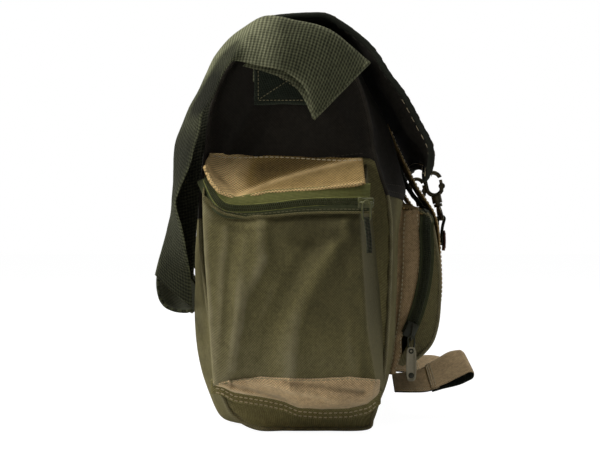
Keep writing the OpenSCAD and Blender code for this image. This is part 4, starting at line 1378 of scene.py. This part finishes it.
# ------------------------------------------------------------------ closing straps
# (y, z) down the strap
CLOSING_LINE = [(-73.5, 236), (-82, 216), (-91, 197.5), (-98, 184.3), (-106.2, 172),
                (-110.8, 164), (-113.9, 152.6), (-115.4, 134.6), (-116.3, 112), (-116.0, 98),
                (-114.2, 86)]
HOOK_BAR = (-117.3, 160.0)  # (y, z) of the hook eye's bar


def closing_strap(x, side):
    front = (0, -1, 0)
    line = curve(CLOSING_LINE, 110)
    y, z = line.T
    place(band(f"Front_strap_{side}", xyz(x - 19.0, y + 1.0, z),
               xyz(x + 19.0, y + 0.4 * np.sin(z / 14) + 1.0, z), 2.1, "khaki_canvas", cross=16,
               out=(0, -1, 0.3), wobble=0.35, seed=5), "khaki_canvas", f"{side}_front_strap")
    for j, off in enumerate((-15.8, 15.8)):
        path = xyz(x + off, y - 0.05, z)
        n = np.cross(unit(np.gradient(path, axis=0)), [1.0, 0, 0])
        n = np.where(n[:, 1:2] > 0, -n, n)
        stitches(f"Front_strap_stitch_{side}_{j}", path[4:-4], n[4:-4], radius=0.38)

    # dark webbing behind it, hanging a little slack
    y, z = line[8:62].T
    sag = np.sin(np.linspace(0, 1, len(y)) * math.pi)
    edge = xyz(x - 17.5, y + 3.0 + 3.2 * sag, z - 1.5 * sag)
    place(band(f"Strap_backing_{side}", edge, edge + (35.0, 0, 0), 1.6, "dark_webbing",
               cross=14, out=front), "dark_webbing")

    # leather tab sewn over the end of the webbing loop
    z = np.linspace(150.5, 134.2, 16)
    y = -119.2 - 0.6 * np.sin((z - 134) / 16 * math.pi)
    half = np.where(z < 137, 7.2 - (137 - z) * 0.9, 8.0)
    parts = [band("tab", xyz(x - half, y, z), xyz(x + half, y, z), 2.0, "leather_tab",
                  cross=10, out=front)]
    rows = [xyz(x + off, -120.4, np.linspace(149, 137, 10)) for off in (-6.0, 6.0)]
    rows.append(xyz(np.linspace(x - 6, x + 6, 10), -120.4, 136.6))
    parts += threads(rows, front, pitch=2.6, length=1.8, radius=0.3)
    place(join(parts, f"Leather_tab_{side}"), "leather", f"{side}_leather_tab")

    # webbing loop round the eye's bar
    loop = [(-116.0, 138.5), (-115.2, 148), (-114.6, 155)]
    loop += [(HOOK_BAR[0] + 2.75 * math.cos(t), HOOK_BAR[1] + 2.75 * math.sin(t))
             for t in np.radians(np.linspace(-20, 200, 12))]
    loop += [(-118.6, 154), (-117.9, 148), (-117.6, 138.5)]
    edge = xyz(x - 7.5, *curve(loop, 70).T)
    place(band(f"Hook_loop_web_{side}", edge, edge + (15.0, 0, 0), 1.5, "dark_webbing",
               cross=9, out=front), "dark_webbing", f"{side}_hook_loop")
    for node, mat in (("hook_eye", "antique_brass"), ("hook_body", "antique_brass"),
                      ("hook_gate", "worn_brass"), ("d_ring", "antique_brass")):
        paint(f"{side}_{node}", mat)


# ------------------------------------------------------------------ tail straps
def tail_strap(way, side):
    """A strap end below the front pocket, turned back on itself into an open loop."""
    xa, xb = (-94, -57) if way < 0 else (57, 94)
    droop = 0.0 if way < 0 else 1.0  # the right one hangs a little lower
    # x, y, z of the left edge, then of the right edge
    first, second = edge_pair([
        (xa, -78.5, 21.5, xb, -78.5, 31.5),
        (xa, -92, 21.2, xb, -91, 33.0),
        (xa, -104, 21.6 - 2 * droop, xb, -103, 36.0 - 3 * droop),
        (xa + 0.4, -117.6, 25.2 - 7 * droop, xb - 0.4, -115, 41.6 - 11 * droop),
        (xa + 1, -130, 29.6 - 12 * droop, xb - 1, -126.6, 47.0 - 18 * droop),
        (xa + 2, -141.5, 35.0 - 17 * droop, xb - 3, -137.0, 48.8 - 22 * droop)], 160)
    n = normals(ruled(first, second, np.linspace(0, 1, 4)), (0, 0, 1))

    def lay(where, lift):
        """Both edges at shares of the length, lifted off the strap's middle plane."""
        rows = np.clip(where, 0, 1) * 159
        lift = np.broadcast_to(lift, np.shape(where))[:, None]
        return [read_columns(rows, np.arange(160), edge)
                + read_columns(rows, np.arange(160), edge_normals) * lift
                for edge, edge_normals in ((first, n[:, 0]), (second, n[:, -1]))]

    flat = np.linspace(0, 0.56, 50)
    # the top and the loop are in the lighter khaki copy: painted light on the tail strap
    parts = [band("top", *lay(flat, 0.9), 1.9, "khaki_canvas_lit", cross=16, wobble=0.5,
                  seed=11)]
    a, b = lay(flat, -0.9)
    parts.append(band("under", lerp(a, b, 0.04), lerp(a, b, 0.96), 1.5, "dark_webbing",
                      cross=14))
    # the loop: out along the top, round the end, back underneath
    turn = 0.955
    out = np.linspace(0.46, turn, 60)
    gap = 2.3 + 1.9 * ease((out - 0.56) / 0.3)
    angle = np.linspace(math.pi / 2, -math.pi / 2, 14)[1:-1]
    where = np.concatenate([out, turn + 0.055 * np.cos(angle), out[::-1]])
    lift = np.concatenate([gap, 0.55 + (gap[-1] - 0.55) * np.sin(angle), 1.1 - gap[::-1]])
    a, b = lay(np.minimum(where, 1.0), lift)
    beyond = np.maximum(where - 1.0, 0)[:, None] * 14
    parts.append(band("loop", a + (first[-1] - first[-12]) * beyond,
                      b + (second[-1] - second[-12]) * beyond, 1.7, "khaki_canvas_lit",
                      cross=16, inner="dark_webbing"))
    for share in (0.47, 0.495, 0.525):
        a, b = lay(arr([share]), 3.35)
        parts += threads([lerp(a, b, np.linspace(0.06, 0.94, 24)[:, None])], (0, 0, 1),
                         pitch=2.0, length=1.9, radius=0.42)
    a, b = lay(np.linspace(0.03, 0.45, 30), 2.0)
    parts += threads([lerp(a, b, 0.08), lerp(a, b, 0.92)], (0, 0, 1))
    place(join(parts, f"Tail_strap_{side}"), "khaki_canvas", f"{side}_tail_strap",
          body=f"{side}_tail")


# ------------------------------------------------------------------ flap
# (y, z) from the back of the mouth, over the top and down the front
FLAP_LINE = curve([(53.5, 279.5), (51.5, 286.5), (47, 294.5), (38, 303.2), (24.6, 311.9),
                   (8, 315.4), (-8, 316.2), (-20, 315.6), (-28, 312.4), (-43.5, 301.5),
                   (-57, 288), (-69.6, 269), (-79.5, 255.2), (-93.5, 230.7), (-100.8, 217),
                   (-104.6, 201), (-103.0, 186)], 900)
FLAP_LENGTH = run_length(FLAP_LINE)
FALLING = 600  # from this row on the line only goes down
FLAP_HINGE = ("bag", "flap", (0, 0.0565, 0.286), (0, 0.036, 0.290))
# section of the folded binding: out from the flap's edge, along its normal
BINDING_SECTION = [(-6.6, 2.05), (-6.3, 2.3), (-3.4, 2.35), (-1.2, 2.15), (0.0, 1.45),
                   (0.4, 0.0), (0.0, -1.45), (-1.2, -2.15), (-3.4, -2.35), (-6.3, -2.3),
                   (-6.6, -2.05), (-6.4, -1.8), (-1.5, -1.5), (-1.5, 1.5), (-6.4, 1.8)]
BINDING_WEAR = [0.2, 0.3, 0.15, 0.5, 0.9, 1.0, 0.9, 0.5, 0.15, 0.3, 0.2, 0, 0, 0, 0]


def flap_edge_z(x):
    """Height of the flap's lower edge: a shallow arch with rounded corners."""
    off = np.abs(x)
    arch = 187.5 + 15 * np.clip(np.cos(np.pi / 2 * np.clip(off / 132, 0, 1)), 0, 1) ** 0.6
    corner = 15.0
    into = np.clip((off - (150 - corner)) / corner, 0, 1)
    return arch + corner * (1 - np.sqrt(1 - np.minimum(into, 0.9995) ** 2))


def flap_grid(inset):
    """Flap surface and normals. inset draws its sides and lower edge in."""
    x = (149.6 - inset) * bunched(170, 1.35)
    end = np.interp(-(flap_edge_z(x) + inset * 0.9), -FLAP_LINE[FALLING:, 1],
                    FLAP_LENGTH[FALLING:])
    t = np.linspace(0, 1, 190)[:, None]
    yz = read_columns(t * end, FLAP_LENGTH, FLAP_LINE)
    grid = xyz(x, yz[..., 0], yz[..., 1])
    n = normals(grid, (0, 0, 1))
    off = np.abs(x)
    relief = 1.0 * lumps(grid, (70, 60, 60), 101) * ease(t * 5)
    relief = relief + 0.3 * lumps(grid, (22, 18, 18), 103) * ease(t * 6)
    # the middle of the flap sags
    relief = relief - 2.2 * np.cos(x / 150 * math.pi / 2) * bell(t - 0.25, 0.2)
    relief = relief + 1.8 * ease((off - 108) / 20) * ease((t - 0.3) * 4)
    # the lower corners curl in towards the bag
    relief = relief - 4.0 * ease((t - 0.90) / 0.10) ** 1.3 * ease((off - 98) / 30)
    # a hollow beside each side edge
    hollow = np.where(off < 128, bell(off - 128, 15.0), 1 - ease((off - 128) / 21.6) ** 1.3)
    relief = relief - 9.0 * hollow * ease((t - 0.46) * 4) * (0.12 + 0.88 * ease((1 - t) * 5))
    # soft crosswise ripples
    ripple = np.sin(grid[..., 2] / 5.5 + 0.8 * np.sin(x / 21))
    relief = relief + 0.15 * ripple * ease((t - 0.35) * 4) * ease((1 - t) * 6)
    return grid + n * relief[..., None], n


def flap():
    grid, n = flap_grid(inset=4.0)
    wear_and_shading = (0.5 * bell(1 - np.abs(grid[..., 0]) / 146, 0.02)
            + 0.35 * np.clip(lumps(grid, 24, 105), 0, 1))
    wear_and_shading = np.clip(wear_and_shading, 0, 1) * 0.8
    place(slab("Flap_outer", grid, 1.7, "dark_canvas", n, wear_and_shading=wear_and_shading), "dark_canvas", "flap",
          blend=FLAP_HINGE)
    place(slab("Flap_lining", grid - n * 1.9, 1.4, "dark_canvas", n, wear_and_shading=wear_and_shading * 0.3),
          "lining_cloth", "flap_lining", blend=FLAP_HINGE)


def flap_binding():
    """Folded binding round the sides and lower edge, and its stitches."""
    grid, n = flap_grid(inset=0.6)

    def border(surface, in_by):
        last = -1 - in_by
        return np.vstack([surface[4:, in_by], surface[last, 1:-1],
                          surface[:, last][::-1][:-4]])

    rim = border(grid, 0)
    outward = unit(rim - border(grid, 3))
    count = 560
    table = resample(np.hstack([rim, border(n, 0), outward]), count)
    normal = unit(table[:, 3:6])
    out = table[:, 6:9]
    out = unit(out - normal * np.sum(out * normal, axis=1, keepdims=True))
    path = table[:, :3] - normal * 1.7
    segs = len(BINDING_SECTION)
    verts = np.stack([path + out * a + normal * b for a, b in BINDING_SECTION], 1)
    verts += (0.12 * value_noise(verts, 4, 7))[..., None] * normal[:, None]
    faces = ring_quads(count, segs).transpose(1, 0, 2).reshape(-1, 4).tolist()
    faces.append(list(range(segs)))
    faces.append(list(range((count - 1) * segs, count * segs))[::-1])
    uv = np.stack([np.repeat(run_length(path), segs), np.tile(np.arange(segs) * 1.6, count)], 1)
    place(make("Flap_binding", verts.reshape(-1, 3), faces, ["binding_cloth"], uv,
               np.tile(BINDING_WEAR, count)), "binding", "flap_binding", blend=FLAP_HINGE)

    rows, tangents = along(np.hstack([path, normal, out]), 7.6)
    normal, inset = rows[:, 3:6], rows[:, 6:9] * 5.2
    # the outer row is pale thread below 258 mm and dark thread above: the dark upper stitches are
    # painted shade
    low = rows[:, 2] < 258
    # which stitches, lift along the normal, half width, thread
    parts = [beads("thread", (rows[:, :3] + unit(normal) * lift - inset)[chosen],
                   tangents[chosen], normal[chosen], 2.2, half_width, 0.3, mat)
             for chosen, lift, half_width, mat in (
                 (low | ~low, 2.45, 0.36, "thread_olive"),
                 (low, -2.5, 0.38, "thread_pale"),
                 (~low, -2.5, 0.38, "thread_dark"))]
    place(join(parts, "Flap_stitch"), "khaki_canvas", body="flap", blend=FLAP_HINGE)


RING_BAR = (-107.0, 219.0)  # (y, z) of the D ring's bar


def ring_tab(x, side):
    """Leather tab on the flap, looped round the D ring's bar."""
    loop = [(-87.6, 245.5), (-95.0, 232.0), (-101.2, 223.5)]
    loop += [(RING_BAR[0] - 2.9 * math.cos(t), RING_BAR[1] + 2.9 * math.sin(t))
             for t in np.radians(np.linspace(110, -110, 13))]
    loop += [(-104.2, 216.4), (-102.9, 219.5), (-100.4, 222.2)]
    edge = xyz(x - 11.0, *curve(loop, 90).T)
    parts = [band("tab", edge, edge + (22.0, 0, 0), 1.6, "leather_tab", cross=10,
                  out=(0, -1, 0.4))]
    # stitched on four sides
    line = curve([(-88.4, 246.0), (-94.6, 234.5), (-99.6, 226.5)], 20)
    y, z = line.T
    box = [xyz(x + off, y - 0.75, z + 0.35) for off in (-8.8, 8.8)]
    box += [xyz(np.linspace(x - 8.8, x + 8.8, 20), y[k] - 0.8, z[k] + 0.3) for k in (2, -3)]
    parts += threads(box, (0, -0.85, 0.5), pitch=2.6, length=1.9, radius=0.3)
    place(join(parts, f"Ring_tab_{side}"), "leather", f"{side}_d_ring_tab", body="flap")


# ------------------------------------------------------------------ shoulder strap
# Left arm of the strap, from its front end over and down behind the bag:
# x, y, z of the upper edge, then of the lower edge
ARM = arr([
    (-184, -53, 275, -184, -12, 233), (-185, -39, 287, -187, -7, 253),
    (-185, -27, 296.5, -189, 4, 264), (-184, -14, 302, -191, 15, 268.5),
    (-183, 0, 305, -192, 31, 271.5), (-181, 12, 308, -193, 40, 273.5),
    (-178, 24, 309, -195, 46, 273.5), (-174, 36, 303, -196, 50.5, 268.5),
    (-171, 49, 294, -196, 54.5, 261), (-169, 60, 281.6, -196, 57.5, 252.5),
    (-168, 67, 268, -196, 60, 247), (-167, 73, 255, -195, 64, 241),
    (-164, 80, 243, -194, 68, 234), (-160, 86, 230, -192, 70.5, 222),
    (-156, 91, 218, -191, 74, 211), (-155.5, 92.6, 206, -190, 77, 200),
    (-155, 92.5, 196, -188, 80.5, 191.5), (-154.5, 92, 187, -186, 84.5, 183),
    (-154.5, 92.2, 172, -184, 88.5, 170), (-154.5, 96, 157, -183, 83.5, 150.6),
    (-154.5, 101, 139, -175, 80.5, 132), (-154.5, 104.5, 127, -162, 79.5, 119),
    (-153.5, 107, 117.5, -153.5, 78.8, 93)])
# second layer between the arm and the bag, in painted shade: x, y, z of the back edge, then of the
# front edge
SECOND_LAYER = arr([
    (-157, 56, 286, -162, 51, 283), (-156, 67.5, 268, -160, 62.4, 266),
    (-155.5, 71.5, 250, -158, 62.5, 249), (-155, 78, 235, -157.5, 65.5, 236),
    (-155, 83, 220, -157, 68.0, 220), (-155, 87, 205, -157, 70.5, 205),
    (-155, 90.5, 190, -157, 72.2, 190), (-155, 91.2, 172, -157, 73.6, 172),
    (-155, 92.0, 155, -157, 74.8, 155), (-155, 95, 135, -156.5, 76.4, 135),
    (-155, 98, 118, -156, 77.6, 114)])
# layer folded under the arm's front end: x, y, z of the upper edge, then of the lower edge
FOLDED_LAYER = arr([
    (-184, -53, 275, -184, -12, 233), (-180.5, -40, 284, -179, -4, 250),
    (-177, -24, 291, -175.5, 6, 261), (-173.5, -6, 296, -172, 22, 268),
    (-170.5, 12, 299, -169.5, 40, 273)])
# front edge of the strap's root, from the sewn patch up under the arm: x, y, z on the right
ROOT_EDGE = arr([(163.4, -16.5, 262), (164.2, -16.5, 276), (166.0, -15.5, 286),
                 (168.2, -12, 293)])
ROOT_WIDTH = (0, 49.0, 0)
ROOT_BLEND = ("bag", "strap", (0, 0.010, 0.279), (0, 0.010, 0.296))


def strap_arm(way, side):
    mirror = (-way, 1, 1)
    upper, lower = [edge * mirror for edge in edge_pair(ARM, 240)]
    second_edges = [edge * mirror for edge in edge_pair(SECOND_LAYER, 110)]
    c = np.linspace(0, 1, 30)[None]
    y = lerp(upper[:, 1:2], lower[:, 1:2], c)
    z = lerp(upper[:, 2:3], lower[:, 2:3], c)
    # painted highlight over the top, painted shade below and on the lower half behind the crest
    wear_and_shading = (ease((my_front := (y - 6) / 20)) * ease((z - 250) / 24)
            - 0.58 * ease((244 - z) / 34) + 0.4 * np.abs(2 * c - 1) ** 10)
    wear_and_shading = wear_and_shading - 0.25 * bell(z - 205, 30)
    wear_and_shading = wear_and_shading - 1.5 * ease((c - 0.22) / 0.30) * ease((y - 34) / 12) * ease((z - 228) / 18)
    arm = band("arm", upper, lower, 2.4, "webbing", cross=30, crown=1.2, out=(way, 0, 0.6),
               wobble=0.6, seed=21, wear_and_shading=np.maximum(wear_and_shading, -0.90))
    # the second layer's darker webbing copy is painted shade
    second = band("second", *second_edges, 2.2, "webbing_dark_and_shaded", cross=16, crown=-1.5,
                  out=(way, 0.3, 0), wobble=0.5, seed=22)
    folded = band("folded", *edge_pair(FOLDED_LAYER * (mirror * 2), 60), 2.2, "webbing",
                  cross=18, out=(way, 0, 0))
    fold = lerp(upper[:1], lower[:1], np.linspace(0.0, 1.0, 40)[:, None])
    roll = tube("roll", fold + (0, -0.2, -0.2), 1.7, "webbing", 10, wear_and_shading=0.35)
    place(join([arm, folded, roll, second], f"Shoulder_strap_{side}"), "webbing",
          *(["shoulder_strap"] if way < 0 else []), body="strap")
    front = ROOT_EDGE * (way, 1, 1)
    a, b = edge_pair(np.hstack([front, front + ROOT_WIDTH]), 24)
    place(band(f"Strap_root_{side}", a, b, 2.2, "webbing", cross=14, out=(way, 0, 0)),
          "webbing", body="strap", blend=ROOT_BLEND)


def strap_back_run():
    """The run behind the bag, flat in the middle, its lower edge curled forward."""
    x = np.linspace(-154.2, 154.2, 220)
    k = ease((np.abs(x) - 100) / 48)
    top = xyz(x, lerp(109.4, 106.0, k), lerp(124.0, 118.0, k))
    middle = xyz(x, lerp(97.9, 101.5, k), lerp(104.0, 95.0, k))
    low = xyz(x, lerp(83.4, 80.5, k), lerp(84.4, 89.0, k))
    # a parabola across the strap through the three curves
    c = np.linspace(0, 1, 30)
    weights = (2 * (c - 0.5) * (c - 1), -4 * c * (c - 1), 2 * c * (c - 0.5))
    grid = sum(line[:, None] * weight[None, :, None]
               for line, weight in zip((top, middle, low), weights))
    grid = grid + 0.8 * lumps(grid, 22, 23)[..., None] * normals(grid)
    # the whole run is darkened with painted shade; its edges are painted paler
    place(slab("Strap_back_run", grid, 2.3, "webbing", (0, 1, -0.6),
               wear_and_shading=np.abs(2 * c - 1) ** 10 * 0.6 - 0.42, edge=0.4), "webbing", body="strap")
    paint("strap_adjuster", "antique_brass")


def strap_patch(way, side):
    """Sewn patch with a box of stitches and a cross."""
    y0, y1, z0, z1 = -16.5, 31.5, 245.0, 279.0
    y, z = np.linspace(y0, y1, 40)[:, None], np.linspace(z0, z1, 30)
    edge = np.minimum(np.minimum(y - y0, y1 - y), z - z0)
    grid = xyz(0, y, z + 0.4 * np.sin(y / 6))
    grid[..., 0] = way * (166.2 - 0.5 * bell(edge - 3, 1.5) + 0.5 * lumps(grid, 14, 111))
    # the patch is in dark webbing as painted shade: it lies in the shade under the strap
    place(slab(f"Strap_patch_{side}", grid, 2.4, "dark_webbing", (way, 0, 0),
               wear_and_shading=0.5 * bell(edge, 1.2), edge=0.5), "webbing", f"{side}_strap_anchor")
    front, back, low, high = y0 + 3, y1 - 3, z0 + 3, z1 - 3
    # start y, z and end y, z of each row
    lines = [(front, low, back, low), (front, high, back, high), (front, low, front, high),
             (back, low, back, high), (front + 1, low + 1, back - 1, high - 1),
             (front + 1, high - 1, back - 1, low + 1)]
    rows = [xyz(way * 166.25, np.linspace(ya, yb, 30), np.linspace(za, zb, 30))
            for ya, za, yb, zb in lines]
    # the olive thread here is dimmed as painted shade as well
    place(join(threads(rows, (way, 0, 0), "thread_olive", pitch=2.8, length=1.9, radius=0.3),
               f"Patch_stitch_{side}"), "khaki_canvas")


# ------------------------------------------------------------------ stage
def camera_mix(tree, share, unseen, seen, output):
    """Shows one shader to the camera and another to the light."""
    mix = tree.nodes.new("ShaderNodeMixShader")
    for socket, source in zip(mix.inputs, (share, unseen, seen)):
        tree.links.new(source, socket)
    tree.links.new(mix.outputs[0], output)
    return mix


def make_floor():
    bm = bmesh.new()
    bmesh.ops.create_grid(bm, x_segments=2, y_segments=2, size=6.0)
    mesh = bpy.data.meshes.new("Floor")
    bm.to_mesh(mesh)
    bm.free()
    floor = link_object("Floor", mesh)
    floor.location = (0, 0, -0.0004)
    mat = bpy.data.materials.new("floor_pale")
    mat.use_nodes = True
    tree = mat.node_tree
    surface = tree.nodes["Principled BSDF"]
    surface.inputs["Base Color"].default_value = (0.86, 0.86, 0.85, 1)
    surface.inputs["Roughness"].default_value = 0.8
    glow = tree.nodes.new("ShaderNodeEmission")
    glow.inputs["Color"].default_value = (1, 1, 1, 1)
    glow.inputs["Strength"].default_value = 1.22
    ray = tree.nodes.new("ShaderNodeLightPath")
    share = tree.nodes.new("ShaderNodeMath")
    share.operation = "MULTIPLY"
    share.inputs[1].default_value = 0.80  # the glow's share of what the camera sees
    tree.links.new(ray.outputs["Is Camera Ray"], share.inputs[0])
    mix = camera_mix(tree, share.outputs[0], surface.outputs[0], glow.outputs[0],
                     tree.nodes["Material Output"].inputs[0])
    mix.inputs[0].default_value = 0.75  # the share if its link is taken off
    mesh.materials.append(mat)


def make_world():
    """A dim sky for light, plain white to the camera."""
    world = bpy.data.worlds.new("Studio")
    bpy.context.scene.world = world
    world.use_nodes = True
    tree = world.node_tree
    sky = tree.nodes["Background"]
    sky.inputs["Color"].default_value = (0.93, 0.96, 1.0, 1)
    sky.inputs["Strength"].default_value = 0.10
    white = tree.nodes.new("ShaderNodeBackground")
    white.inputs["Color"].default_value = (1, 1, 1, 1)
    white.inputs["Strength"].default_value = 1.0
    ray = tree.nodes.new("ShaderNodeLightPath")
    camera_mix(tree, ray.outputs["Is Camera Ray"], sky.outputs[0], white.outputs[0],
               tree.nodes["World Output"].inputs[0])


def disk_light(name, location, target, size, power, colour):
    light = bpy.data.lights.new(name, "AREA")
    light.shape = "DISK"
    light.size = size
    light.energy = power
    light.color = colour
    ob = link_object(name, light)
    ob.location = location
    ob.rotation_euler = (Vector(target) - Vector(location)).to_track_quat("-Z", "Y").to_euler()


def make_lights():
    warm = (1.0, 0.98, 0.92)
    disk_light("Key", (-0.50, 1.0, 0.86), target=(-0.14, 0.02, 0.17), size=0.35, power=6.0,
               colour=warm)
    disk_light("Key_side", (-0.80, 0.80, 0.86), target=(-0.17, 0.02, 0.22), size=0.25,
               power=2.6, colour=warm)
    disk_light("Crest", (-0.27, 0.72, 1.45), target=(-0.18, 0.03, 0.29), size=0.30, power=8,
               colour=warm)
    disk_light("Top", (0.05, -0.35, 1.6), target=(0, -0.05, 0.12), size=0.9, power=10,
               colour=(1.0, 0.99, 0.97))
    disk_light("Front_fill", (0.8, -1.5, 0.7), target=(0, 0, 0.12), size=1.0, power=4.0,
               colour=(0.98, 0.98, 1.0))
    disk_light("Right_fill", (1.5, 0.2, 0.9), target=(0, 0, 0.15), size=1.0, power=7,
               colour=(1.0, 1.0, 1.0))


def make_camera():
    """Looks along +x at the bag's left end."""
    camera = bpy.data.cameras.new("Camera")
    camera.sensor_width = 36
    camera.lens = 80
    camera.clip_start = 0.05
    ob = link_object("Camera", camera)
    ob.location = (-1.160, -0.0026, 0.155)
    ob.rotation_euler = (math.radians(90), 0, math.radians(-90))
    scene = bpy.context.scene
    scene.camera = ob
    scene.view_settings.view_transform = "Standard"
    scene.view_settings.look = "None"


# ------------------------------------------------------------------ build
make_materials()
body_shell()
for way, side in SIDES:
    gusset(way, side)
inside()
for way, side in SIDES:
    pocket_shell(way, side)
    pocket_top(way, side)
    pocket_zip(way, side)
    pocket_bottom(way, side)
    end_slider_and_pull(way, side)
front_face()
for way, side in SIDES:
    front_side(way, side)
front_top()
front_zip()
front_slider_and_pull()
for way, side in SIDES:
    closing_strap(way * STRAP_X, side)
for way, side in SIDES:
    tail_strap(way, side)
flap()
flap_binding()
for way, side in SIDES:
    ring_tab(way * STRAP_X, side)
for way, side in ((-1, "near"), (1, "far")):
    strap_arm(way, side)
strap_back_run()
for way, side in SIDES:
    strap_patch(way, side)
for rows in STITCH_ROWS:
    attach(rows, rows["t_body"])

make_floor()
make_world()
make_lights()
make_camera()
